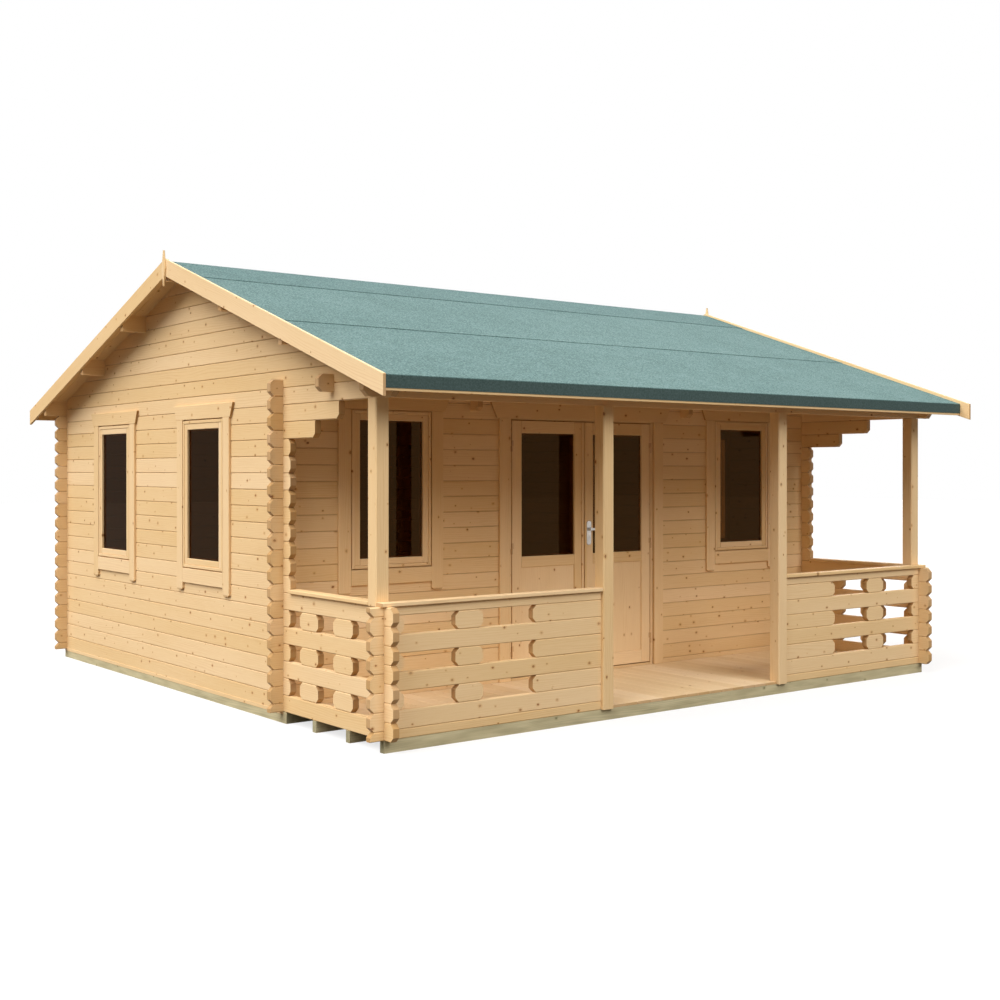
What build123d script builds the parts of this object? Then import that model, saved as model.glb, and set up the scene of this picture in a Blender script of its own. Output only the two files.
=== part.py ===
from build123d import *
import math
import os

# Log cabin with a veranda under one gable roof. Millimetres, +Z up, X along the ridge,
# the veranda faces -Y, and the origin lies on the ground under the middle of the ridge.

# Fits and cutters
FIT = 0.4                     # gap between pieces that bear on each other
OVERRUN = 60.0                # how far a cutter runs past what it cuts

# Logs
LOG_H = 114.0                 # cover height of one log
LOG_T = 44.0                  # log thickness
LOG_END = 98.0                # log end beyond the wall that it crosses
END_BEVEL = 30.0              # bevel on the upper and lower corner of a log end
EDGE_BEVEL = 5.0              # bevel on the long edges, which makes the groove between logs
CORE_SHARE = 0.5              # middle share of a log's height that is left at a crossing
SCRAP_SHARE = 0.5             # offcuts shorter than this share of a log's height are not fitted

# Plan of the cabin, over the outer faces of the logs
CABIN_W = 5346.0              # along the ridge
ROOM_D = 4094.0               # front wall to back wall
VERANDA_D = 1241.0            # front wall to railing
EAVE_COURSES = 18             # full logs under the eave log, above a half log
RAIL_COURSES = 7              # courses of logs in the railings
EAVE_LOG_H = 118.5            # height of the eave log at its outer face

# Corbels, the gable logs that step out over the veranda
LOWER_CORBEL = 421.0          # reach in front of the front wall
UPPER_CORBEL = 719.0

# Base and floors
BEARER_H = 76.0
BEARER_W = 45.0
WALL_BEARER_W = 90.0          # doubled bearer under the front wall
VERANDA_BEARERS = 2           # bearers between the front wall and the front bearer
ROOM_JOISTS = 6
FLOOR_T = 20.0
FLOOR_GAP = 4.0               # floor edge to wall

# Windows: casing, sash and pane, with boards round the outside
WINDOW_W = 680.0
WINDOW_H = 1120.0
CASING_W = 30.0
CASING_PROUD = 16.0           # casing in front of the logs
CASING_BACK = 10.0            # casing behind the logs
SASH_W = 45.0
SASH_T = 40.0
SASH_SET = 4.0                # sash face behind the casing face
PANE_T = 6.0
TRIM_W = 100.0
TRIM_T = 18.0
HEAD_TRIM_H = 106.0
SILL_TRIM_H = 108.0
TRIM_LEG = 58.0               # side boards below the bottom board
HEAD_LIP = 15.0               # head board past the side boards, at its lower edge
HEAD_FLARE = 45.0             # more at its upper edge
LEG_BEVEL = 14.0
GABLE_SILL = 876.0            # underside of a gable window above the lowest log
FRONT_SILL = 922.0
GABLE_WINDOW_NEAR = 1212.0    # window centres behind the front wall's outer face
GABLE_WINDOW_FAR = 2916.0
FRONT_WINDOW_OUT = 1814.0     # window centres from the middle of the front

# Double door
DOOR_W = 1515.0               # opening in the logs
DOOR_H = 2031.0
JAMB_T = 28.0
JAMB_D = 42.0
JAMB_SET = 4.0                # frame's face behind the wall's outer face
SILL_H = 37.0
DOOR_TRIM_W = 101.0
DOOR_HEAD_H = 117.0
DOOR_LAP = 4.0                # side boards over the edge of the opening
DOOR_HEAD_LAP = 21.0          # head board over the edge of the opening
DOOR_HEAD_LIP = 25.0          # head board past the side boards, at its lower edge
DOOR_HEAD_FLARE = 56.0        # more at its upper edge
LEAF_T = 40.0
LEAF_SET = 4.0                # leaf face behind the wall's outer face
LEAF_GAP = 8.0                # round the leaves
MEETING_GAP = 8.0
STILE_W = 93.0
TOP_RAIL_H = 94.0
MID_RAIL_H = 82.0
BOTTOM_RAIL_H = 103.0
LEAF_PANEL_H = 727.0
PANEL_T = 22.0
HINGE_OUT = 6.0               # hinge axis in front of the leaf's face
HINGE_D = 11.0                # hinge barrel
HINGE_HALF = 42.0             # length of each half of a barrel
HINGE_FLAP_T = 2.5
LEAF_FLAP_W = 16.0            # flap on the leaf, from the axis
JAMB_FLAP_W = 13.0            # flap on the frame
HINGE_SHARES = (0.1, 0.5, 0.9)  # hinge heights on the leaf
PLATE_W = 45.0
PLATE_H = 189.0
PLATE_T = 7.0
PLATE_UP = 1026.0             # underside of the handle plate above the lowest log
PLATE_IN = 45.5               # plate centre from the leaf's meeting edge
PLATE_ROUND = 20.0
SPINDLE_UP_SHARE = 0.656      # height of the spindle on the plate
SPINDLE_D = 9.0
SPINDLE_BORE = 19.0
LEVER_L = 68.0
LEVER_H = 17.0
LEVER_T = 13.0
LEVER_BEVEL = 5.7             # cut corners of the lever's ends
LEVER_OUT = 34.0              # lever's face from the plate
ROSE_D = 26.0
KEY_D = 9.0
KEY_DOWN = 62.0               # keyhole under the spindle

# Railings
CAP_T = 26.0
CAP_PROUD = 23.0              # cap past the log's faces
SPACER_L = 215.0
FRONT_SPACER = 632.0          # spacer centre from the side wall's outer face
CORNER_STUB = 142.0           # stub at the corner, from the side wall's outer face
POST_STUB = 594.0             # stub at a centre post
SIDE_SPACER_L = 236.0
SIDE_SPACERS = (343.0, 768.0)  # spacer centres in front of the front wall
SIDE_STUB = 146.0             # stub behind the railing's outer face

# Posts
POST_W = 95.0
POST_BEVEL = 7.0
POST_BACK = 6.0               # corner posts behind the front railing's inner face
CENTRE_POST = 889.0           # post centres from the middle of the front

# Roof
ROOF_PITCH = 18.9
ROOF_BOARD_T = 19.0
GABLE_OVERHANG = 215.0        # outer face of a bargeboard beyond the gable
EAVE_OVERHANG = 233.0         # face of the eave board beyond the wall
EAVE_BOARD_T = 18.0
EAVE_BOARD_H = 93.0
FELT_T = 4.0
FELT_DROP = 77.0              # felt turned down over the eave board
RIDGE_FELT = 496.0            # ridge strip down each slope, measured level
PURLIN_T = 44.0
PURLIN_H = 120.0
PURLIN_LINES = (872.0, 1741.0)  # purlin centres from the ridge
EAVE_BEAM_END = 145.0         # front eave beam beyond the gable
EAVE_BEAM_BEVEL = 40.0
TIE_BACK = 638.0              # centre of the veranda tie in front of the front wall
TIE_END = 112.0
ROOM_TIE_OUT = 1098.0         # ties over the room from the middle
BARGE_T = 20.0
BARGE_H = 130.0               # plumb height of a bargeboard
BARGE_RISE = 29.0             # its top edge above the roof boards
BARGE_REACH = 323.0           # plumb end beyond the wall
FINIAL_W = 60.0
FINIAL_H = 268.0
FINIAL_T = 11.0
FINIAL_UP = 60.0              # above the bargeboards' peak
FINIAL_NECK_SHARE = 0.15
FINIAL_POINT_SHARE = 0.08
FINIAL_SHOULDER_SHARE = 0.5

# Derived levels and lines
CABIN_D = ROOM_D + VERANDA_D
HALF_W = CABIN_W / 2
HALF_D = CABIN_D / 2
SLOPE = math.tan(math.radians(ROOF_PITCH))
ACROSS = 1 / math.cos(math.radians(ROOF_PITCH))
BASE = BEARER_H
FRONT = -HALF_D
FRONT_WALL = FRONT + VERANDA_D
BACK = HALF_D
EAVE_LOG_LOW = BASE + (EAVE_COURSES + CORE_SHARE) * LOG_H
EAVES = EAVE_LOG_LOW + EAVE_LOG_H
BEAM_LOW = BASE + EAVE_COURSES * LOG_H
RAIL_TOP = BASE + RAIL_COURSES * LOG_H
BARGE_IN = HALF_W + GABLE_OVERHANG - BARGE_T
SQUARE = (0.0, 0.0)
BEVELLED = (END_BEVEL, END_BEVEL)
UPPER_ONLY = (0.0, END_BEVEL)
LOWER_ONLY = (END_BEVEL, 0.0)


def under_roof(y):
    """Height of the roof boards' underside at a distance from the ridge."""
    return EAVES + (HALF_D - abs(y)) * SLOPE


def over_roof(y):
    """Height of the roof boards' upper face."""
    return under_roof(y) + ROOF_BOARD_T * ACROSS


def block(x, y, z):
    """Box between the two ends given along each axis."""
    return Pos(sum(x) / 2, sum(y) / 2, sum(z) / 2) * Box(x[1] - x[0], y[1] - y[0], z[1] - z[0])


def along_x(outline, x):
    """Outline of (y, z) points carried along X."""
    plane = Plane(origin=(x[0], 0, 0), x_dir=(0, 1, 0), z_dir=(1, 0, 0))
    return extrude(plane * Polygon(*outline, align=None), x[1] - x[0])


def along_y(outline, y):
    """Outline of (x, z) points carried along Y."""
    plane = Plane(origin=(0, y[1], 0), x_dir=(1, 0, 0), z_dir=(0, -1, 0))
    return extrude(plane * Polygon(*outline, align=None), y[1] - y[0])


def along_z(outline, z):
    """Outline of (x, y) points carried up Z."""
    return extrude(Pos(0, 0, z[0]) * Polygon(*outline, align=None), z[1] - z[0])


def mirrored(span):
    """The same span on the other side of the middle."""
    return (-span[1], -span[0])


def bevelled_outline(a, b, low, high, start, end):
    """Rectangle whose four corners are bevelled: (lower, upper) at each end."""
    corners = [
        (a, low + start[0]), (a + start[0], low), (b - end[0], low), (b, low + end[0]),
        (b, high - end[1]), (b - end[1], high), (a + start[1], high), (a, high - start[1]),
    ]
    return [p for i, p in enumerate(corners) if p != corners[i - 1]]


def log_along_x(x, y, z, start=SQUARE, end=SQUARE):
    """Log with bevelled long edges and the end bevels given."""
    side = along_y(bevelled_outline(*x, *z, start, end), y)
    edge = (EDGE_BEVEL, EDGE_BEVEL)
    return side & along_x(bevelled_outline(*y, *z, edge, edge), x)


def log_along_y(x, y, z, start=SQUARE, end=SQUARE):
    """The same log turned to run along Y."""
    return Rot(0, 0, 90) * log_along_x(y, mirrored(x), z, start, end)


def gable_course(k):
    """Levels of a course in the gables, whose lowest log is whole."""
    return BASE + k * LOG_H, BASE + (k + 1) * LOG_H


def wall_course(k):
    """Levels of a course in the front and back, half a log lower than the gables' courses."""
    low, high = gable_course(k)
    return low - LOG_H * CORE_SHARE, high - LOG_H * CORE_SHARE


def trimmed(levels, floor=BASE, top=math.inf):
    """Levels of the log itself: inside floor and top, with the fit taken off."""
    return max(levels[0], floor) + FIT / 2, min(levels[1], top) - FIT / 2


def notch_levels(levels, stack):
    """Quarters of a course that are cut away where it crosses a stack of logs."""
    quarter = LOG_H * (1 - CORE_SHARE) / 2
    low, high = levels
    lower = (low - OVERRUN, low + quarter + FIT / 2)
    upper = (high - quarter - FIT / 2, high + OVERRUN)
    found = []
    if stack[0] < low + quarter / 2 < stack[1]:
        found.append(lower)
    if stack[0] < high - quarter / 2 < stack[1]:
        found.append(upper)
    return found


def widened(span, gap=FIT):
    """Span with a gap added at both ends."""
    return span[0] - gap, span[1] + gap


def notched_x(log, y, levels, crossings):
    """Cut a log along X where it crosses stacks at the X spans given."""
    for span, stack in crossings:
        for z in notch_levels(levels, stack):
            log -= block(widened(span), widened(y, OVERRUN), z)
    return log


def notched_y(log, x, levels, crossings):
    """Cut a log along Y where it crosses stacks at the Y spans given."""
    for span, stack in crossings:
        for z in notch_levels(levels, stack):
            log -= block(widened(x, OVERRUN), widened(span), z)
    return log


def kept(shape):
    """Solids of a shape that are long enough to be fitted."""
    least = LOG_H * SCRAP_SHARE
    return [s for s in shape.solids() if max(s.bounding_box().size.X, s.bounding_box().size.Y) > least]


NODES = {}


def node(name, *shapes):
    """File the solids of one named piece or group of like pieces."""
    NODES.setdefault(name, [])
    for shape in shapes:
        NODES[name] += shape.solids()


# Spans of the walls, and the stacks of logs that cross
SIDES = {"left": -1, "right": 1}
LEFT_SPAN = (-HALF_W, -HALF_W + LOG_T)
RIGHT_SPAN = mirrored(LEFT_SPAN)
FRONT_SPAN = (FRONT_WALL, FRONT_WALL + LOG_T)
BACK_SPAN = (BACK - LOG_T, BACK)
RAIL_SPAN = (FRONT, FRONT + LOG_T)
TIE_SPAN = (FRONT_WALL - TIE_BACK - LOG_T / 2, FRONT_WALL - TIE_BACK + LOG_T / 2)
TIE_COURSE = EAVE_COURSES + 1
FRONT_TOP = wall_course(TIE_COURSE)[1]
ROOM_TIE_SPANS = [(s * ROOM_TIE_OUT - LOG_T / 2, s * ROOM_TIE_OUT + LOG_T / 2) for s in SIDES.values()]
GABLE_STACK = (BASE, math.inf)
RAIL_STACK = (BASE, RAIL_TOP)
FRONT_STACK = (BASE, FRONT_TOP)
BACK_STACK = (BASE, EAVES)
TIE_STACK = wall_course(TIE_COURSE)
BEAM_STACK = (EAVE_LOG_LOW, math.inf)
ROOM_TIE_STACK = gable_course(EAVE_COURSES)
GABLE_CROSSINGS = [(LEFT_SPAN, GABLE_STACK), (RIGHT_SPAN, GABLE_STACK)]
ROOM_TIE_CROSSINGS = [(span, ROOM_TIE_STACK) for span in ROOM_TIE_SPANS]
BEAM_BACK = FRONT + LOG_T + FIT

# Window and door places
GABLE_WINDOWS = (FRONT_WALL + GABLE_WINDOW_NEAR, FRONT_WALL + GABLE_WINDOW_FAR)
FRONT_WINDOWS = {"left": -FRONT_WINDOW_OUT, "right": FRONT_WINDOW_OUT}
GABLE_WINDOW_Z = (BASE + GABLE_SILL, BASE + GABLE_SILL + WINDOW_H)
FRONT_WINDOW_Z = (BASE + FRONT_SILL, BASE + FRONT_SILL + WINDOW_H)
DOOR_Z = (BASE, BASE + DOOR_H)
WINDOW_SPAN = (-WINDOW_W / 2, WINDOW_W / 2)


def window_span(centre):
    """Span of a window opening along its wall."""
    return centre + WINDOW_SPAN[0], centre + WINDOW_SPAN[1]


def purlin_spans():
    """Spans across the slope and undersides of the ridge beam and purlins."""
    lines = [0.0] + [s * line for line in PURLIN_LINES for s in SIDES.values()]
    return [((c - PURLIN_T / 2, c + PURLIN_T / 2), under_roof(c) - PURLIN_H) for c in lines]


def gable_logs(x):
    """Logs of one gable: railing logs, corbels, log ends and the triangle under the roof."""
    far = HALF_D + LOG_END + OVERRUN
    roof = along_x([
        (-far, BASE), (far, BASE), (far, under_roof(far) - FIT), (0, under_roof(0) - FIT),
        (-far, under_roof(far) - FIT),
    ], widened(x, OVERRUN))
    openings = [
        block(widened(x, OVERRUN), widened(window_span(c)), widened(GABLE_WINDOW_Z)) for c in GABLE_WINDOWS
    ]
    slots = [
        block(widened(x, OVERRUN), widened(span), (low - FIT, under_roof(0) + OVERRUN))
        for span, low in purlin_spans()
    ]
    crossings = [
        (FRONT_SPAN, FRONT_STACK), (BACK_SPAN, BACK_STACK), (RAIL_SPAN, RAIL_STACK), (TIE_SPAN, TIE_STACK),
        (RAIL_SPAN, BEAM_STACK),
    ]
    short_end = FRONT_WALL - LOG_END
    fronts = {EAVE_COURSES - 2: FRONT_WALL - LOWER_CORBEL, EAVE_COURSES - 1: FRONT_WALL - UPPER_CORBEL}
    logs = []
    count = math.ceil((under_roof(0) - BASE) / LOG_H)
    for k in range(count):
        levels = gable_course(k)
        front, front_end, back, back_end = short_end, BEVELLED, BACK + LOG_END, BEVELLED
        if k < RAIL_COURSES and k % 2 == 0 or k == EAVE_COURSES:
            front = FRONT - LOG_END
        elif k in fronts:
            front, front_end = fronts[k], LOWER_ONLY
        elif k > EAVE_COURSES:
            front, front_end = BEAM_BACK, SQUARE
            back, back_end = BACK - LOG_T - FIT, SQUARE
        log = log_along_y(x, (front, back), trimmed(levels), front_end, back_end)
        log = notched_y(log, x, levels, crossings) & roof
        for cut in openings + slots:
            log -= cut
        logs += kept(log)
    return logs


def side_rail_blocks(x):
    """Stubs and spacers in the open courses of a side railing."""
    blocks = []
    for k in range(1, RAIL_COURSES, 2):
        levels = gable_course(k)
        stub = log_along_y(x, (FRONT - LOG_END, FRONT + SIDE_STUB), trimmed(levels), BEVELLED, BEVELLED)
        blocks.append(notched_y(stub, x, levels, [(RAIL_SPAN, RAIL_STACK)]))
        for centre in SIDE_SPACERS:
            middle = FRONT_WALL - centre
            span = (middle - SIDE_SPACER_L / 2, middle + SIDE_SPACER_L / 2)
            blocks.append(log_along_y(x, span, trimmed(levels), BEVELLED, BEVELLED))
    return blocks


def front_rail_logs(side):
    """One front railing, from the corner to the centre post, with three open courses."""
    post_face = -CENTRE_POST - POST_W / 2 - FIT
    corner = -HALF_W - LOG_END
    spacer = (-HALF_W + FRONT_SPACER - SPACER_L / 2, -HALF_W + FRONT_SPACER + SPACER_L / 2)
    logs = []
    for k in range(RAIL_COURSES + 1):
        levels = wall_course(k)
        z = trimmed(levels, top=RAIL_TOP)
        ends = BEVELLED
        if k == 0:
            ends = UPPER_ONLY
        elif k == RAIL_COURSES:
            ends = LOWER_ONLY
        spans = [((corner, post_face), ends, SQUARE)]
        if k % 2 == 0 and 0 < k < RAIL_COURSES:
            spans = [
                ((corner, -HALF_W + CORNER_STUB), ends, BEVELLED), (spacer, BEVELLED, BEVELLED),
                ((post_face - POST_STUB, post_face), BEVELLED, SQUARE),
            ]
        for x, start, end in spans:
            log = log_along_x(x, RAIL_SPAN, z, start, end)
            logs.append(notched_x(log, RAIL_SPAN, levels, [(LEFT_SPAN, RAIL_STACK)]))
    return logs if side < 0 else [mirror(log, about=Plane.YZ) for log in logs]


def build_base():
    """Treated bearers on the ground, and the two floors."""
    ends = (-HALF_W, HALF_W)
    low = (0, BEARER_H - FIT)
    node("front_bearer", block(ends, (FRONT, FRONT + BEARER_W), low))
    wall_bearer = (FRONT_WALL - BEARER_W, FRONT_WALL - BEARER_W + WALL_BEARER_W)
    pitch = VERANDA_D / (VERANDA_BEARERS + 1)
    for i in range(VERANDA_BEARERS):
        y = FRONT + pitch * (i + 1)
        node("veranda_bearers", block(ends, (y - BEARER_W / 2, y + BEARER_W / 2), low))
    between = (-HALF_W + BEARER_W + FIT, HALF_W - BEARER_W - FIT)
    for s in SIDES.values():
        x = (-HALF_W, -HALF_W + BEARER_W) if s < 0 else (HALF_W - BEARER_W, HALF_W)
        node("room_bearers", block(x, (wall_bearer[0], BACK), low))
    node("room_bearers", block(between, wall_bearer, low))
    node("room_bearers", block(between, (BACK - BEARER_W, BACK), low))
    clear = BACK - BEARER_W - wall_bearer[1]
    for i in range(ROOM_JOISTS):
        y = wall_bearer[1] + clear * (i + 1) / (ROOM_JOISTS + 1)
        node("room_bearers", block(between, (y - BEARER_W / 2, y + BEARER_W / 2), low))
    floor = (BASE, BASE + FLOOR_T)
    inside = (LEFT_SPAN[1] + FLOOR_GAP, RIGHT_SPAN[0] - FLOOR_GAP)
    node("room_floor", block(inside, (FRONT_SPAN[1] + FLOOR_GAP, BACK_SPAN[0] - FLOOR_GAP), floor))
    deck = block(inside, (RAIL_SPAN[1] + FLOOR_GAP, FRONT_WALL - FLOOR_GAP), floor)
    step = CENTRE_POST - POST_W / 2 - FLOOR_GAP
    deck += block((-step, step), (FRONT, RAIL_SPAN[1] + POST_W), floor)
    for s in SIDES.values():
        deck -= block(widened((s * CENTRE_POST - POST_W / 2, s * CENTRE_POST + POST_W / 2), FLOOR_GAP),
                      (FRONT - POST_W, (RAIL_SPAN[0] + RAIL_SPAN[1] + POST_W) / 2 + FLOOR_GAP),
                      widened(floor, OVERRUN))
    node("veranda_floor", deck)


def build_walls():
    """Gables, back wall and front wall, log by log."""
    for name, s in SIDES.items():
        x = LEFT_SPAN if s < 0 else RIGHT_SPAN
        node(name + "_gable_wall", *gable_logs(x))
        node(name + "_railing_blocks", *side_rail_blocks(x))
    ends = (-HALF_W - LOG_END, HALF_W + LOG_END)
    for k in range(EAVE_COURSES + 1):
        levels = wall_course(k)
        bevel = UPPER_ONLY if k == 0 else BEVELLED
        log = log_along_x(ends, BACK_SPAN, trimmed(levels), bevel, bevel)
        node("back_wall", notched_x(log, BACK_SPAN, levels, GABLE_CROSSINGS + ROOM_TIE_CROSSINGS))
    openings = [
        block(widened(window_span(c)), widened(FRONT_SPAN, OVERRUN), widened(FRONT_WINDOW_Z))
        for c in FRONT_WINDOWS.values()
    ]
    door_x = (-DOOR_W / 2, DOOR_W / 2)
    openings.append(block(door_x, widened(FRONT_SPAN, OVERRUN), (BASE - OVERRUN, DOOR_Z[1])))
    for k in range(TIE_COURSE + 1):
        levels = wall_course(k)
        bevel = UPPER_ONLY if k == 0 else BEVELLED
        log = log_along_x(ends, FRONT_SPAN, trimmed(levels), bevel, bevel)
        log = notched_x(log, FRONT_SPAN, levels, GABLE_CROSSINGS + ROOM_TIE_CROSSINGS)
        for cut in openings:
            log -= cut
        for piece in kept(log):
            middle = piece.bounding_box().center().X
            if abs(middle) < LOG_T:
                node("front_wall_head", piece)
            else:
                node("front_wall_left" if middle < 0 else "front_wall_right", piece)
    inside = (LEFT_SPAN[1] + FIT, RIGHT_SPAN[0] - FIT)
    top = under_roof(FRONT_SPAN[0]) - FIT
    roof = along_x([
        (FRONT_SPAN[0], FRONT_TOP), (FRONT_SPAN[1], FRONT_TOP),
        (FRONT_SPAN[1], under_roof(FRONT_SPAN[1]) - FIT), (FRONT_SPAN[0], top),
    ], inside)
    for k in range(TIE_COURSE + 1, TIE_COURSE + 1 + math.ceil((top - FRONT_TOP) / LOG_H)):
        low, high = trimmed(wall_course(k))
        if top - low > LOG_H * SCRAP_SHARE / 2:
            node("front_wall_upper", log_along_x(inside, FRONT_SPAN, (low, high)) & roof)


def build_window(name, place, sill):
    """Casing, sash, pane and outer boards of one window, made facing -Y and set in place."""
    z = (sill, sill + WINDOW_H)
    casing_y = (-CASING_PROUD, LOG_T + CASING_BACK)
    casing_in = (WINDOW_SPAN[0] + CASING_W, WINDOW_SPAN[1] - CASING_W)
    casing_z = (z[0] + CASING_W, z[1] - CASING_W)
    casing = block(WINDOW_SPAN, casing_y, z) - block(casing_in, widened(casing_y, OVERRUN), casing_z)
    sash_y = (casing_y[0] + SASH_SET, casing_y[0] + SASH_SET + SASH_T)
    sash_out = widened(casing_in, -FIT)
    sash_z = widened(casing_z, -FIT)
    pane_x = widened(sash_out, -SASH_W)
    pane_z = widened(sash_z, -SASH_W)
    sash = block(sash_out, sash_y, sash_z) - block(pane_x, widened(sash_y, OVERRUN), pane_z)
    pane_y = (sum(sash_y) / 2 - PANE_T / 2, sum(sash_y) / 2 + PANE_T / 2)
    pane = block(widened(pane_x, -FIT), pane_y, widened(pane_z, -FIT))
    foot = z[0] - SILL_TRIM_H - TRIM_LEG
    boards = outer_boards(WINDOW_SPAN, (foot, z[1]), TRIM_W, LEG_BEVEL, (HEAD_TRIM_H, HEAD_LIP, HEAD_FLARE))
    boards.append(block(widened(WINDOW_SPAN, -FIT), (-TRIM_T - FIT, -FIT), (z[0] - SILL_TRIM_H, z[0])))
    casing_cut = block(widened(WINDOW_SPAN), widened(casing_y, OVERRUN), widened(z))
    boards = [board - casing_cut for board in boards]
    node(name + "_frames", place * casing, place * sash)
    node(name + "_panes", place * pane)
    node(name + "_trim", *[place * board for board in boards])


def outer_boards(span, z, side_w, foot_bevel, head):
    """Two side boards and a head board (height, lip, flare) with slanted ends, on the logs."""
    y = (-TRIM_T - FIT, -FIT)
    foot, top = z
    bevel = (foot_bevel, 0)
    sides = [
        along_y(bevelled_outline(edge - side_w, edge, foot, top - FIT, bevel, bevel), y)
        for edge in (span[0], span[1] + side_w)
    ]
    head_h, lip, flare = head
    lower = widened(span, side_w + lip)
    upper = widened(lower, flare)
    top_board = along_y([
        (lower[0], top), (lower[1], top), (upper[1], top + head_h), (upper[0], top + head_h),
    ], y)
    return sides + [top_board]


def build_windows():
    """Two windows in each gable and one on each side of the door."""
    for centre in GABLE_WINDOWS:
        build_window("left_window", Pos(-HALF_W, centre, 0) * Rot(0, 0, -90), GABLE_WINDOW_Z[0])
        build_window("right_window", Pos(HALF_W, centre, 0) * Rot(0, 0, 90), GABLE_WINDOW_Z[0])
    for centre in FRONT_WINDOWS.values():
        build_window("front_window", Pos(centre, FRONT_WALL, 0), FRONT_WINDOW_Z[0])


def hinge_half(axis, flap_x, flap_y, z):
    """One half of a lift-off hinge: a length of barrel and the flap that is screwed on."""
    barrel = Pos(*axis, sum(z) / 2) * Cylinder(HINGE_D / 2, z[1] - z[0])
    return barrel + block(flap_x, flap_y, z)


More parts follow.
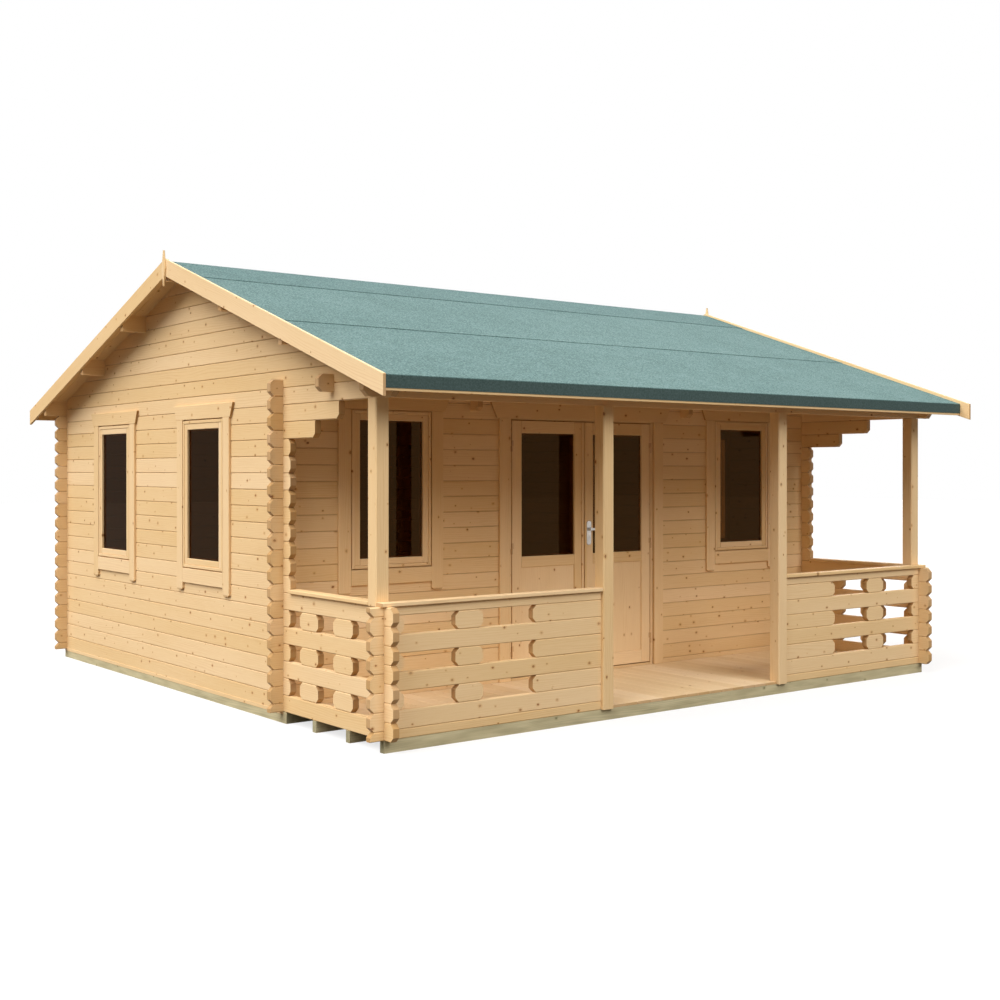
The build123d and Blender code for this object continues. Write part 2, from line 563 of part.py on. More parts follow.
def build_door():
    """Frame, trim, two leaves with panes, and the lever handle on the right leaf."""
    place = Pos(0, FRONT_WALL, 0)
    half = DOOR_W / 2 - FIT
    frame_y = (JAMB_SET, JAMB_SET + JAMB_D)
    top = DOOR_Z[1] - FIT
    inner = half - JAMB_T
    jamb = block((-half, -inner), frame_y, (BASE, top - JAMB_T - FIT))
    lintel = block((-half, half), frame_y, (top - JAMB_T, top))
    sill = block((-inner + FIT, inner - FIT), frame_y, (BASE, BASE + SILL_H))
    node("door_frame", *[place * bar for bar in (jamb, mirror(jamb, about=Plane.YZ), lintel, sill)])
    trim_half = DOOR_W / 2 - DOOR_LAP
    trim_z = (BASE + FLOOR_T + FIT, DOOR_Z[1] - DOOR_HEAD_LAP)
    head = (DOOR_HEAD_H, DOOR_HEAD_LIP, DOOR_HEAD_FLARE)
    boards = outer_boards((-trim_half, trim_half), trim_z, DOOR_TRIM_W, 0, head)
    node("door_trim", *[place * board for board in boards])
    outer = inner - LEAF_GAP
    z = (BASE + SILL_H + LEAF_GAP, top - JAMB_T - LEAF_GAP)
    y = (LEAF_SET, LEAF_SET + LEAF_T)
    leaf_x = (-outer, -MEETING_GAP / 2)
    open_x = widened(leaf_x, -STILE_W)
    panel_z = (z[0] + BOTTOM_RAIL_H, z[0] + BOTTOM_RAIL_H + LEAF_PANEL_H)
    glass_z = (panel_z[1] + MID_RAIL_H, z[1] - TOP_RAIL_H)
    leaf = block(leaf_x, y, z)
    for hole in (panel_z, glass_z):
        leaf -= block(open_x, widened(y, OVERRUN), hole)
    middle = sum(y) / 2
    panel = block(widened(open_x, -FIT), (middle - PANEL_T / 2, middle + PANEL_T / 2), widened(panel_z, -FIT))
    pane = block(widened(open_x, -FIT), (middle - PANE_T / 2, middle + PANE_T / 2), widened(glass_z, -FIT))
    spindle_x = MEETING_GAP / 2 + PLATE_IN
    plate_z = BASE + PLATE_UP
    spindle_z = plate_z + PLATE_H * SPINDLE_UP_SHARE
    turn = Plane(origin=(spindle_x, 0, spindle_z), x_dir=(1, 0, 0), z_dir=(0, -1, 0))
    bore = extrude(turn * Circle(SPINDLE_BORE / 2), LEAF_T * 2, both=True)
    node("left_door_leaf", place * leaf, place * panel)
    node("left_door_pane", place * pane)
    other = [mirror(solid, about=Plane.YZ) for solid in (leaf, panel, pane)]
    node("right_door_leaf", place * (other[0] - bore), place * other[1])
    node("right_door_pane", place * other[2])
    axis_x = -outer - LEAF_GAP / 2
    flap_y = (y[0] - FIT - HINGE_FLAP_T, y[0] - FIT)
    for share in HINGE_SHARES:
        middle_z = z[0] + (z[1] - z[0]) * share
        leaf_z = (middle_z + FIT / 2, middle_z + HINGE_HALF)
        frame_z = (middle_z - HINGE_HALF, middle_z - FIT / 2)
        leaf_half = hinge_half((axis_x, y[0] - HINGE_OUT), (axis_x, axis_x + LEAF_FLAP_W), flap_y, leaf_z)
        frame_half = hinge_half((axis_x, y[0] - HINGE_OUT), (axis_x - JAMB_FLAP_W, axis_x), flap_y, frame_z)
        node("left_door_hinges", place * leaf_half)
        node("right_door_hinges", place * mirror(leaf_half, about=Plane.YZ))
        node("frame_hinges", place * frame_half, place * mirror(frame_half, about=Plane.YZ))
    face = Plane(origin=(spindle_x, 0, plate_z + PLATE_H / 2), x_dir=(1, 0, 0), z_dir=(0, -1, 0))
    outline = RectangleRounded(PLATE_W, PLATE_H, PLATE_ROUND)
    spindle_hole = extrude(turn * Circle(SPINDLE_D / 2 + FIT), LEAF_T * 2, both=True)
    key = Plane(origin=(spindle_x, 0, spindle_z - KEY_DOWN), x_dir=(1, 0, 0), z_dir=(0, -1, 0))
    key_hole = extrude(key * Circle(KEY_D / 2), LEAF_T * 2, both=True)
    for start in (y[0] - FIT - PLATE_T, y[1] + FIT):
        plate = Pos(0, start + PLATE_T, 0) * extrude(face * outline, PLATE_T)
        node("door_plates", place * (plate - spindle_hole - key_hole))
    outside = y[0] - FIT - PLATE_T
    inside = y[1] + FIT + PLATE_T
    corner = (LEVER_BEVEL, LEVER_BEVEL)
    spindle_l = inside - outside + LEVER_OUT * 2
    lever = Pos(0, inside + LEVER_OUT, 0) * extrude(turn * Circle(SPINDLE_D / 2), spindle_l)
    for end, way in ((outside, -1), (inside, 1)):
        rose = sorted((end + way * FIT, end + way * (LEVER_OUT - LEVER_T / 2)))
        lever += Pos(0, rose[1], 0) * extrude(turn * Circle(ROSE_D / 2), rose[1] - rose[0])
        grip = sorted((end + way * (LEVER_OUT - LEVER_T), end + way * LEVER_OUT))
        tongue = bevelled_outline(spindle_x - ROSE_D / 2, spindle_x + LEVER_L, spindle_z - LEVER_H / 2,
                                  spindle_z + LEVER_H / 2, corner, corner)
        lever += along_y(tongue, grip)
    node("door_lever", place * lever)


def build_railings():
    """Front railings, caps and the four posts."""
    for name, s in SIDES.items():
        node("front_" + name + "_railing", *front_rail_logs(s))
    cap = (RAIL_TOP, RAIL_TOP + CAP_T)
    corner_y = (RAIL_SPAN[1] + POST_BACK, RAIL_SPAN[1] + POST_BACK + POST_W)
    rail_middle = (LEFT_SPAN[0] + LEFT_SPAN[1]) / 2
    corner_x = (rail_middle - POST_W / 2, rail_middle + POST_W / 2)
    front_x = (corner_x[0], -CENTRE_POST - POST_W / 2 - FIT)
    front_cap = block(front_x, (FRONT - CAP_PROUD, corner_y[0] - FIT), cap)
    side_cap = block(widened(LEFT_SPAN, CAP_PROUD), (corner_y[1] + FIT, FRONT_WALL - LOG_END - FIT), cap)
    for board in (front_cap, side_cap):
        node("railing_caps", board, mirror(board, about=Plane.YZ))
    bevel = (POST_BEVEL, POST_BEVEL)
    corner = along_z(bevelled_outline(*corner_x, *corner_y, bevel, bevel), (RAIL_TOP, BEAM_LOW - FIT))
    node("corner_posts", corner, mirror(corner, about=Plane.YZ))
    centre_y = (RAIL_SPAN[0] + RAIL_SPAN[1]) / 2
    for s in SIDES.values():
        x = (s * CENTRE_POST - POST_W / 2, s * CENTRE_POST + POST_W / 2)
        y = (centre_y - POST_W / 2, centre_y + POST_W / 2)
        node("centre_posts", along_z(bevelled_outline(*x, *y, bevel, bevel), (BASE, BEAM_LOW - FIT)))


def build_roof_frame():
    """Eave log, eave beam, ties, purlins and ridge beam."""
    reach = BARGE_IN - FIT
    names = ["ridge_beam"] + ["purlins"] * (len(PURLIN_LINES) * 2)
    for name, (y, low) in zip(names, purlin_spans()):
        crown = [(0, under_roof(0) - FIT)] if name == "ridge_beam" else []
        outline = [
            (y[0], low), (y[1], low), (y[1], under_roof(y[1]) - FIT), *crown, (y[0], under_roof(y[0]) - FIT),
        ]
        node(name, along_x(outline, (-reach, reach)))
    eave = along_x([
        (BACK_SPAN[0], EAVE_LOG_LOW + FIT / 2), (BACK_SPAN[1], EAVE_LOG_LOW + FIT / 2),
        (BACK_SPAN[1], under_roof(BACK_SPAN[1]) - FIT), (BACK_SPAN[0], under_roof(BACK_SPAN[0]) - FIT),
    ], (-reach, reach))
    levels = (EAVE_LOG_LOW, under_roof(BACK) + LOG_H)
    node("back_eave_log", notched_x(eave, BACK_SPAN, levels, GABLE_CROSSINGS + ROOM_TIE_CROSSINGS))
    end = HALF_W + EAVE_BEAM_END
    top = under_roof(RAIL_SPAN[1])
    bevel = (EAVE_BEAM_BEVEL, 0)
    beam = along_y(bevelled_outline(-end, end, BEAM_LOW, top, bevel, bevel), RAIL_SPAN)
    beam &= along_x([
        (RAIL_SPAN[0], BEAM_LOW), (RAIL_SPAN[1], BEAM_LOW),
        (RAIL_SPAN[1], under_roof(RAIL_SPAN[1]) - FIT), (RAIL_SPAN[0], under_roof(RAIL_SPAN[0]) - FIT),
    ], (-end, end))
    seat = BEAM_LOW + LOG_H * (1 + CORE_SHARE) / 2 + FIT / 2
    for span, _ in GABLE_CROSSINGS:
        beam -= block(widened(span), widened(RAIL_SPAN, OVERRUN), (BEAM_LOW - OVERRUN, seat))
    node("front_eave_beam", beam)
    ends = (-HALF_W - TIE_END, HALF_W + TIE_END)
    levels = wall_course(TIE_COURSE)
    tie = log_along_x(ends, TIE_SPAN, trimmed(levels), BEVELLED, BEVELLED)
    node("veranda_tie", notched_x(tie, TIE_SPAN, levels, GABLE_CROSSINGS))
    levels = gable_course(EAVE_COURSES)
    for x in ROOM_TIE_SPANS:
        tie = log_along_y(x, (FRONT_WALL - LOG_END, BACK + LOG_END), trimmed(levels), LOWER_ONLY, LOWER_ONLY)
        node("room_ties", notched_y(tie, x, levels, [(FRONT_SPAN, FRONT_STACK), (BACK_SPAN, BACK_STACK)]))


def build_roof_skin():
    """Roof boards, eave boards, felt, bargeboards and finials."""
    edge = HALF_D + EAVE_OVERHANG
    board_edge = edge - EAVE_BOARD_T - FIT
    reach = BARGE_IN - FIT
    span = (-reach, reach)
    for name, s in (("front", -1), ("back", 1)):
        boards = [
            (s * FIT / 2, under_roof(0)), (s * board_edge, under_roof(board_edge)),
            (s * board_edge, over_roof(board_edge)), (s * FIT / 2, over_roof(0)),
        ]
        node(name + "_roof_boards", along_x(boards[::s], span))
        board_top = over_roof(edge)
        eave = [
            (s * (edge - EAVE_BOARD_T), board_top - EAVE_BOARD_H), (s * edge, board_top - EAVE_BOARD_H),
            (s * edge, board_top), (s * (edge - EAVE_BOARD_T), over_roof(edge - EAVE_BOARD_T)),
        ]
        node("eave_boards", along_x(eave[::s], span))
        felt_low = (over_roof(0) + FIT, over_roof(edge) + FIT)
        lift = FELT_T * ACROSS
        out = edge + FIT
        felt = [
            (s * FIT / 2, felt_low[0]), (s * out, felt_low[1]), (s * out, felt_low[1] - FELT_DROP),
            (s * (out + FELT_T), felt_low[1] - FELT_DROP), (s * (out + FELT_T), felt_low[1] + lift),
            (s * FIT / 2, felt_low[0] + lift),
        ]
        node(name + "_felt", along_x(felt[::s], span))
        strip_low = lift + FIT
        strip = [
            (s * FIT / 2, felt_low[0] + strip_low),
            (s * RIDGE_FELT, felt_low[0] + strip_low - RIDGE_FELT * SLOPE),
            (s * RIDGE_FELT, felt_low[0] + strip_low + lift - RIDGE_FELT * SLOPE),
            (s * FIT / 2, felt_low[0] + strip_low + lift),
        ]
        node("ridge_felt", along_x(strip[::s], span))
    end = HALF_D + BARGE_REACH
    peak = over_roof(0) + BARGE_RISE
    for name, side in SIDES.items():
        x = (-BARGE_IN - BARGE_T, -BARGE_IN) if side < 0 else (BARGE_IN, BARGE_IN + BARGE_T)
        for s in (-1, 1):
            barge = [
                (s * FIT / 2, peak - BARGE_H), (s * end, peak - BARGE_H - end * SLOPE),
                (s * end, peak - end * SLOPE), (s * FIT / 2, peak),
            ]
            node(name + "_bargeboards", along_x(barge[::s], x))
        foot = peak + FINIAL_UP - FINIAL_H
        half = FINIAL_W / 2
        neck = half * FINIAL_NECK_SHARE
        shoulder = foot + FINIAL_H * FINIAL_SHOULDER_SHARE
        outline = [
            (-half * FINIAL_POINT_SHARE, foot), (half * FINIAL_POINT_SHARE, foot), (half, shoulder),
            (neck, foot + FINIAL_H), (-neck, foot + FINIAL_H), (-half, shoulder),
        ]
        face = x[0] - FIT - FINIAL_T if side < 0 else x[1] + FIT
        node("finials", along_x(outline, (face, face + FINIAL_T)))


build_base()
build_walls()
build_windows()
build_door()
build_railings()
build_roof_frame()
build_roof_skin()

os.makedirs("parts", exist_ok=True)
for part_name, solids in NODES.items():
    export_step(Compound(children=solids), "parts/" + part_name + ".step")
    print(part_name, len(solids))
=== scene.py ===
"""Log cabin with a veranda: boards, joinery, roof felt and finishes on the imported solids.

Metres, +Z up, X along the ridge, the veranda faces -Y.
"""

import logging
import math
from dataclasses import dataclass, field
from enum import Enum
from functools import partial
from typing import Callable, Sequence

import bpy
import numpy as np
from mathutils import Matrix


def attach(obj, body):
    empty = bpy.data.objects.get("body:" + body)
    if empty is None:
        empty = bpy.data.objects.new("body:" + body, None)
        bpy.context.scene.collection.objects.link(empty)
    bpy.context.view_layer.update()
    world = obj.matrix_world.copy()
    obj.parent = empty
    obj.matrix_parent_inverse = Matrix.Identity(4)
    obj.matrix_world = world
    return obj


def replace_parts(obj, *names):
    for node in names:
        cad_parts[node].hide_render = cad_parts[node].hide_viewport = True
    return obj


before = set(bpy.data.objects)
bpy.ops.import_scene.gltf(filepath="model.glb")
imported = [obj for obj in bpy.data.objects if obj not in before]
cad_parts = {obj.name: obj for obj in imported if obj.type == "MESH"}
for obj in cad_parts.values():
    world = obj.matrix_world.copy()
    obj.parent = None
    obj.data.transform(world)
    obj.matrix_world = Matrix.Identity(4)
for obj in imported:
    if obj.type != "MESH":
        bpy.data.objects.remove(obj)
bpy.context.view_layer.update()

LOG = logging.getLogger("cabin")
Vec = tuple[float, float, float]
Pair = tuple[float, float]
Ends = Sequence[float]
Tree = bpy.types.NodeTree
Node = bpy.types.Node
Link = bpy.types.NodeSocket | Node
Adder = Callable[..., Node]
Material = bpy.types.Material
Thing = bpy.types.Object
SIDES = (-1, 1)

# Cover height of a log, top of the bearers, and the outer faces of the front and gable walls
LOG_H = 0.114
BASE = 0.076
FRONT_WALL = -1.4265
GABLE_WALL = 2.673


class Body(Enum):
    """Bodies of the record that pieces ride on."""

    CABIN = "cabin"
    LEFT_LEAF = "left_leaf"
    RIGHT_LEAF = "right_leaf"


class Slot(Enum):
    """Material slots of the record."""

    LOG = "log_wood"
    TRIM = "trim_wood"
    FLOOR = "floor_wood"
    FELT = "roof_felt"


class Grain(Enum):
    """Where the grain runs: the frame's axes along, across and through it, or each board's own lay."""

    ALONG_X = (0, 2, 1)
    ALONG_Y = (1, 2, 0)
    ALONG_Z = (2, 0, 1)
    OWN = ()


def linear(colour: str) -> tuple[float, float, float, float]:
    """Linear colour of an sRGB hex colour.

    Args:
        colour: six hex digits.

    Returns:
        Linear red, green, blue and an alpha of one.
    """
    parts = np.array([int(colour[i:i + 2], 16) for i in (0, 2, 4)]) / 255
    low = parts / 12.92
    high = ((parts + 0.055) / 1.055) ** 2.4
    return (*np.where(parts <= 0.04045, low, high).tolist(), 1.0)


# The option that says what a node of each kind does
MODES = {"Math": "operation", "VectorMath": "operation", "MapRange": "interpolation_type",
         "Mix": "data_type", "Attribute": "attribute_name"}


def add(tree: Tree, kind: str, inputs: dict | Sequence = (), mode: str = "",
        **settings: object) -> Node:
    """Add a shader node with its settings, values and links.

    Args:
        tree: node tree to add to.
        kind: node type without its "ShaderNode" start.
        inputs: values by the sockets' names or numbers, or in their order. A socket given as a value is
            linked, and of a node its first output in use.
        mode: what the node does.
        **settings: the node's other options.

    Returns:
        The new node.
    """
    made = tree.nodes.new("ShaderNode" + kind)
    if mode:
        setattr(made, MODES[kind], mode)
    for name, value in settings.items():
        setattr(made, name, value)
    for key, value in (inputs if isinstance(inputs, dict) else dict(enumerate(inputs))).items():
        if isinstance(value, Node):
            value = next(socket for socket in value.outputs if socket.enabled)
        if isinstance(value, bpy.types.NodeSocket):
            tree.links.new(value, made.inputs[key])
        else:
            made.inputs[key].default_value = value
    return made


def new_material(name: str) -> tuple[Material, Adder]:
    """Empty node material.

    Args:
        name: the real material's name.

    Returns:
        The material, and the function that adds a node to it.
    """
    material = bpy.data.materials.new(name)
    material.use_nodes = True
    material.node_tree.nodes.clear()
    return material, partial(add, material.node_tree)


def drawn_out(node: Adder, place: Link, stretch: Vec, detail: float) -> Node:
    """Noise drawn out along some axes more than along others.

    Args:
        node: adds a node.
        place: where the noise is read, in metres.
        stretch: noise cells per metre along each axis.
        detail: octaves of finer noise.

    Returns:
        The noise node.
    """
    at = node("VectorMath", (place, stretch), "MULTIPLY")
    return node("TexNoise", {"Vector": at, "Scale": 1.0, "Detail": detail})


def surface(node: Adder, inputs: dict) -> None:
    """Close a material with a principled shader that takes the inputs given."""
    shader = node("BsdfPrincipled", inputs)
    node("OutputMaterial", {"Surface": shader})


@dataclass(frozen=True)
class Wood:
    """Planed softwood: growth rings, fibres and knots, with end grain on cut ends."""

    name: str
    pale: str
    ring: str
    knot: str
    end: str
    grain: Grain
    course: float = 0.0
    course_start: float = 0.0
    # Strength of the painted shade in the grooves between courses; zero for none
    groove: float = 0.0
    spread: float = 0.06
    cloud: Vec = (0.9, 3.0, 3.0)
    knot_share: float = 0.55
    knot_gap: Pair = (0.16, 0.09)
    roughness: float = 0.62
    relief: float = 0.25
    groove_tone: str = "74491F"
    piece_w: float = 0.35
    wall_step: float = 0.3
    piece_step: float = 7.31
    grain_shift: float = 37.0
    knot_size: Pair = (0.0028, 0.0088)
    knot_squash: float = 0.75
    ring_rate: float = 420.0
    ring_swing: float = 46.0
    ring_bend: float = 7.0
    end_rate: float = 1500.0
    heart: Vec = (0.0, 0.017, 0.031)
    drift_cells: Vec = (0.8, 7.0, 7.0)
    fade_cells: Vec = (1.3, 13.0, 13.0)
    fibre_cells: Vec = (9.0, 420.0, 420.0)
    groove_cells: Vec = (3.0, 3.0, 40.0)

    def lay(self, node: Adder) -> tuple[Link, Link, Link, Link | None]:
        """Place on the timber, tone of the piece and cut ends.

        Args:
            node: adds a node to the material.

        Returns:
            Nodes or sockets: (along, across, through) in metres, tone 0 to 1, one on cut ends, and the
            painted shade in the grooves between courses, or None.
        """
        if self.grain is Grain.OWN:
            lay, tone, cut = (node("Attribute", (), name) for name in ("lay", "tone", "cut"))
            return lay.outputs["Vector"], tone.outputs["Fac"], cut.outputs["Fac"], None
        along, across, through = self.grain.value
        coords = node("TexCoord")
        place = node("SeparateXYZ", (coords.outputs["Object"],))
        facing = node("SeparateXYZ", (coords.outputs["Normal"],))
        side_on = node("Math", (facing.outputs[along],), "ABSOLUTE")
        cut = node("Math", (side_on, 0.5), "GREATER_THAN")
        step = self.course or self.piece_w
        level = place.outputs[2 if self.course else across]
        shifted = node("Math", (level, -self.course_start), "ADD")
        count = node("Math", (shifted, step), "DIVIDE")
        number = node("Math", (count,), "FLOOR")
        wall = node("Math", (place.outputs[through], self.wall_step), "SNAP")
        piece = node("Math", (number, self.piece_step, wall), "MULTIPLY_ADD")
        chance = node("TexWhiteNoise", {"W": piece}, noise_dimensions="1D")
        moved = node("Math", (chance, self.grain_shift, place.outputs[along]), "MULTIPLY_ADD")
        edge_on = node("Math", (facing.outputs[across],), "ABSOLUTE")
        turned = node("Math", (edge_on, 0.75), "GREATER_THAN")
        wide = node("Mix", {0: turned, 2: place.outputs[across], 3: place.outputs[through]})
        deep = node("Mix", {0: turned, 2: place.outputs[through], 3: place.outputs[across]})
        lay = node("CombineXYZ", (moved, wide, deep))
        if not self.groove:
            return lay, chance, cut, None
        # Painted shade in the grooves between courses: dark where two logs meet, uneven along the log,
        # kept off level faces
        nearness = node("Math", (count, 0.5), "PINGPONG")
        line = node("MapRange", (nearness, 0.012, 0.045, 1.0, 0.0), "SMOOTHSTEP")
        uneven = drawn_out(node, coords.outputs["Object"], self.groove_cells, 2.0)
        deepness = node("MapRange", (uneven, 0.3, 0.7, self.groove * 0.6, self.groove))
        level_face = node("Math", (facing.outputs[2],), "ABSOLUTE")
        side_face = node("Math", (level_face, 0.9), "LESS_THAN")
        dark = node("Math", (line, deepness), "MULTIPLY")
        shade = node("Math", (dark, side_face), "MULTIPLY")
        return lay, chance, cut, shade

    def knots(self, node: Adder, lay: Link) -> tuple[Link, Link, Link]:
        """Distance field of scattered knots: one per cell, kept by chance, of random size.

        Args:
            node: adds a node to the material.
            lay: place on the timber.

        Returns:
            Nodes or sockets: knot core and the darker wood round it, both 0 to 1, and the knot's tone.
        """
        gap = (*self.knot_gap, 1.0)
        cells = node("VectorMath", (lay, gap), "DIVIDE")
        cell = node("TexVoronoi", {"Vector": cells, "Scale": 1.0}, voronoi_dimensions="2D")
        away = node("VectorMath", (cells, cell.outputs["Position"]), "SUBTRACT")
        real = node("VectorMath", (away, (gap[0] * self.knot_squash, gap[1], 0.0)), "MULTIPLY")
        reach = node("VectorMath", (real,), "LENGTH")
        chance = node("SeparateColor", (cell.outputs["Color"],))
        size = node("MapRange", (chance, 1 - self.knot_share, 1.0, *self.knot_size))
        there = node("Math", (chance, 1 - self.knot_share), "GREATER_THAN")
        kept = node("Math", (size, there), "MULTIPLY")
        wobble = node("TexNoise", {"Vector": lay, "Scale": 90.0, "Detail": 1.0})
        rough = node("Math", (wobble, 0.006, reach), "MULTIPLY_ADD")
        least = node("Math", (kept, 0.0001), "MAXIMUM")
        ratio = node("Math", (rough, least), "DIVIDE")
        core = node("MapRange", (ratio, 0.95, 1.5, 1.0, 0.0), "SMOOTHSTEP")
        halo = node("MapRange", (ratio, 1.2, 2.8, 1.0, 0.0), "SMOOTHSTEP")
        return core, halo, chance.outputs[1]

    def material(self) -> Material:
        """Pale timber whose rings swing round small brown knots, each piece a little different.

        Returns:
            The material.
        """
        material, node = new_material(self.name)
        lay, tone, cut, shade = self.lay(node)
        core, halo, knot_tone = self.knots(node, lay)
        # Growth rings: long bands that wander slowly and bend round the knots
        drift = drawn_out(node, lay, self.drift_cells, 2.0)
        sides = node("SeparateXYZ", (lay,))
        slant = node("Math", (sides.outputs[2], 0.6, sides.outputs[1]), "MULTIPLY_ADD")
        swing = node("Math", (drift, self.ring_swing), "MULTIPLY")
        bent = node("Math", (halo, self.ring_bend, swing), "MULTIPLY_ADD")
        phase = node("Math", (slant, self.ring_rate, bent), "MULTIPLY_ADD")
        wave = node("Math", (phase,), "SINE")
        crest = node("MapRange", (wave, -0.2, 1.0, 0.0, 1.0), "SMOOTHSTEP")
        fade = drawn_out(node, lay, self.fade_cells, 1.0)
        strength = node("MapRange", (fade, 0.38, 0.66, 0.12, 1.0))
        band = node("Math", (crest, strength), "MULTIPLY")
        # End grain: rings round a heart outside the cut
        heart = node("VectorMath", (lay, self.heart), "SUBTRACT")
        flat = node("VectorMath", (heart, (0.0, 1.0, 1.0)), "MULTIPLY")
        radius = node("VectorMath", (flat,), "LENGTH")
        turns = node("Math", (radius, self.end_rate, drift), "MULTIPLY_ADD")
        end_wave = node("Math", (turns,), "SINE")
        end_band = node("MapRange", (end_wave, -1.0, 1.0, 0.15, 0.95))
        rings = node("Mix", {0: cut, 2: band, 3: end_band})
        # Fibres: fine streaks along the grain
        fibre = drawn_out(node, lay, self.fibre_cells, 2.0)
        streak = node("MapRange", (fibre, 0.25, 0.75, 0.0, 0.35))
        share = node("Math", (rings, 0.34, streak), "MULTIPLY_ADD")
        sawn = node("Mix", {0: share, 6: linear(self.pale), 7: linear(self.ring)},
                   "RGBA", clamp_factor=True)
        end_share = node("Math", (cut, 0.85), "MULTIPLY")
        timber = node("Mix", {0: end_share, 6: sawn, 7: linear(self.end)}, "RGBA")
        warm_share = node("Math", (halo, 0.35), "MULTIPLY")
        warm = node("Mix", {0: warm_share, 6: timber, 7: linear(self.ring)},
                   "RGBA", blend_type="MULTIPLY")
        cloud = drawn_out(node, lay, self.cloud, 1.0)
        mood = node("Math", (tone, cloud), "ADD")
        value = node("MapRange", (mood, 0.4, 1.6, 1 - self.spread, 1 + self.spread))
        richness = node("MapRange", (mood, 0.4, 1.6, 1.08, 0.92))
        toned = node("HueSaturation", {"Saturation": richness, "Value": value, "Color": warm})
        boldness = node("MapRange", {0: knot_tone, 3: 0.3, 4: 0.92})
        core_share = node("Math", (core, boldness), "MULTIPLY")
        colour = node("Mix", {0: core_share, 6: toned, 7: linear(self.knot)}, "RGBA")
        # Painted shade in the grooves between courses, laid over the wood's colour
        if shade is not None:
            colour = node("Mix", {0: shade, 6: colour, 7: linear(self.groove_tone)}, "RGBA")
        height = node("Math", (rings, 0.6, streak), "MULTIPLY_ADD")
        sunk = node("Math", (core, -0.8, height), "MULTIPLY_ADD")
        relief = node("Bump", {"Strength": self.relief, "Distance": 0.0006, "Height": sunk})
        gloss = node("MapRange", {0: rings, 3: self.roughness + 0.06, 4: self.roughness - 0.06})
        surface(node, {"Base Color": colour, "Roughness": gloss, "IOR": 1.47,
                       "Specular IOR Level": 0.3, "Normal": relief})
        return material


@dataclass(frozen=True)
class Felt:
    """Mineral roofing felt: blue-green slate grit on an asphalt sheet."""

    name: str = "mineral_felt"
    grit: str = "5F7C7A"
    dark: str = "3F5655"
    light: str = "7E9795"
    # Colour of the painted shade where the sheet hangs down over the eave board
    drop_shade: str = "3A4745"
    hang_below: float = 2.2425
    hang_soft: float = 0.002
    grit_scale: float = 330.0
    speck_scale: float = 82.0
    # Clumps and blotches: scale, detail, roughness and weight
    patches: tuple[tuple[float, ...], ...] = ((9.0, 4.0, 0.6, 0.22), (1.5, 2.0, 0.5, 0.16))

    def material(self) -> Material:
        """Speckled grit with soft blotches, and painted shade where the sheet hangs down at the eaves.

        Returns:
            The material.
        """
        material, node = new_material(self.name)
        coords = node("TexCoord")
        place = coords.outputs["Object"]
        # Grit of 3 mm, and clumps of 12 mm drawn coarse enough to show from a distance
        grain = node("TexVoronoi", {"Vector": place, "Scale": self.grit_scale})
        chance = node("SeparateColor", (grain.outputs["Color"],))
        speck = node("TexNoise", {"Vector": place, "Scale": self.speck_scale, "Detail": 1.0})
        mixed = node("Math", (chance, 0.16, speck), "MULTIPLY_ADD")
        worn = mixed
        for scale, detail, roughness, weight in self.patches:
            patch = node("TexNoise", {"Vector": place, "Scale": scale, "Detail": detail,
                                      "Roughness": roughness})
            worn = node("Math", (patch, weight, worn), "MULTIPLY_ADD")
        dark = node("MapRange", (worn, 0.58, 0.76, 0.7, 0.0))
        light = node("MapRange", (worn, 0.78, 0.98, 0.0, 0.7))
        # Painted shade on the turned-down strip: three quarters of the shade colour below hang_below
        height = node("SeparateXYZ", (place,))
        start = self.hang_below - self.hang_soft
        hung = node("MapRange", (height.outputs[2], start, self.hang_below, 0.75, 0.0))
        colour = linear(self.grit)
        for share, tone in ((dark, self.dark), (light, self.light), (hung, self.drop_shade)):
            colour = node("Mix", {0: share, 6: colour, 7: linear(tone)}, "RGBA")
        relief = node("Bump", {"Strength": 0.5, "Distance": 0.0012, "Height": mixed})
        surface(node, {"Base Color": colour, "Roughness": 0.9, "IOR": 1.5,
                       "Specular IOR Level": 0.2, "Normal": relief})
        return material


@dataclass(frozen=True)
class Glass:
    """Bronze glass: shows the dark room behind it and mirrors a little of the outside, in brown."""

    name: str = "brown_window_glass"
    tint: str = "81613C"
    mirror: float = 0.08

    def material(self) -> Material:
        """Dark pane with a thin mirror coat and the faint roll of drawn glass.

        Returns:
            The material.
        """
        material, node = new_material(self.name)
        coords = node("TexCoord")
        roll = node("TexNoise", {"Vector": coords.outputs["Object"], "Scale": 2.2, "Detail": 1.0})
        relief = node("Bump", {"Strength": 0.04, "Distance": 0.002, "Height": roll})
        surface(node, {"Base Color": linear(self.tint), "Roughness": 0.0, "IOR": 1.02,
                       "Metallic": self.mirror, "Transmission Weight": 1.0, "Normal": relief})
        return material


@dataclass(frozen=True)
class Metal:
    """Satin nickel of the plates and lever, or coated steel of the hinges."""

    name: str = "satin_nickel"
    bright: str = "C6C3BE"
    dull: str = "979590"
    bare: float = 1.0
    brush_cells: Vec = (40.0, 40.0, 2200.0)

    def material(self) -> Material:
        """Brushed metal: fine level scratches and cloudier patches.

        Returns:
            The material.
        """
        material, node = new_material(self.name)
        coords = node("TexCoord")
        scratch = drawn_out(node, coords.outputs["Object"], self.brush_cells, 2.0)
        patch = node("TexNoise", {"Vector": coords.outputs["Object"], "Scale": 45.0, "Detail": 2.0})
        share = node("Math", (scratch, patch), "MULTIPLY")
        colour = node("Mix", {0: share, 6: linear(self.bright), 7: linear(self.dull)}, "RGBA")
        gloss = node("MapRange", {0: share, 3: 0.26, 4: 0.48})
        relief = node("Bump", {"Strength": 0.08, "Distance": 0.0003, "Height": scratch})
        surface(node, {"Base Color": colour, "Roughness": gloss, "Metallic": self.bare,
                       "Normal": relief})
        return material


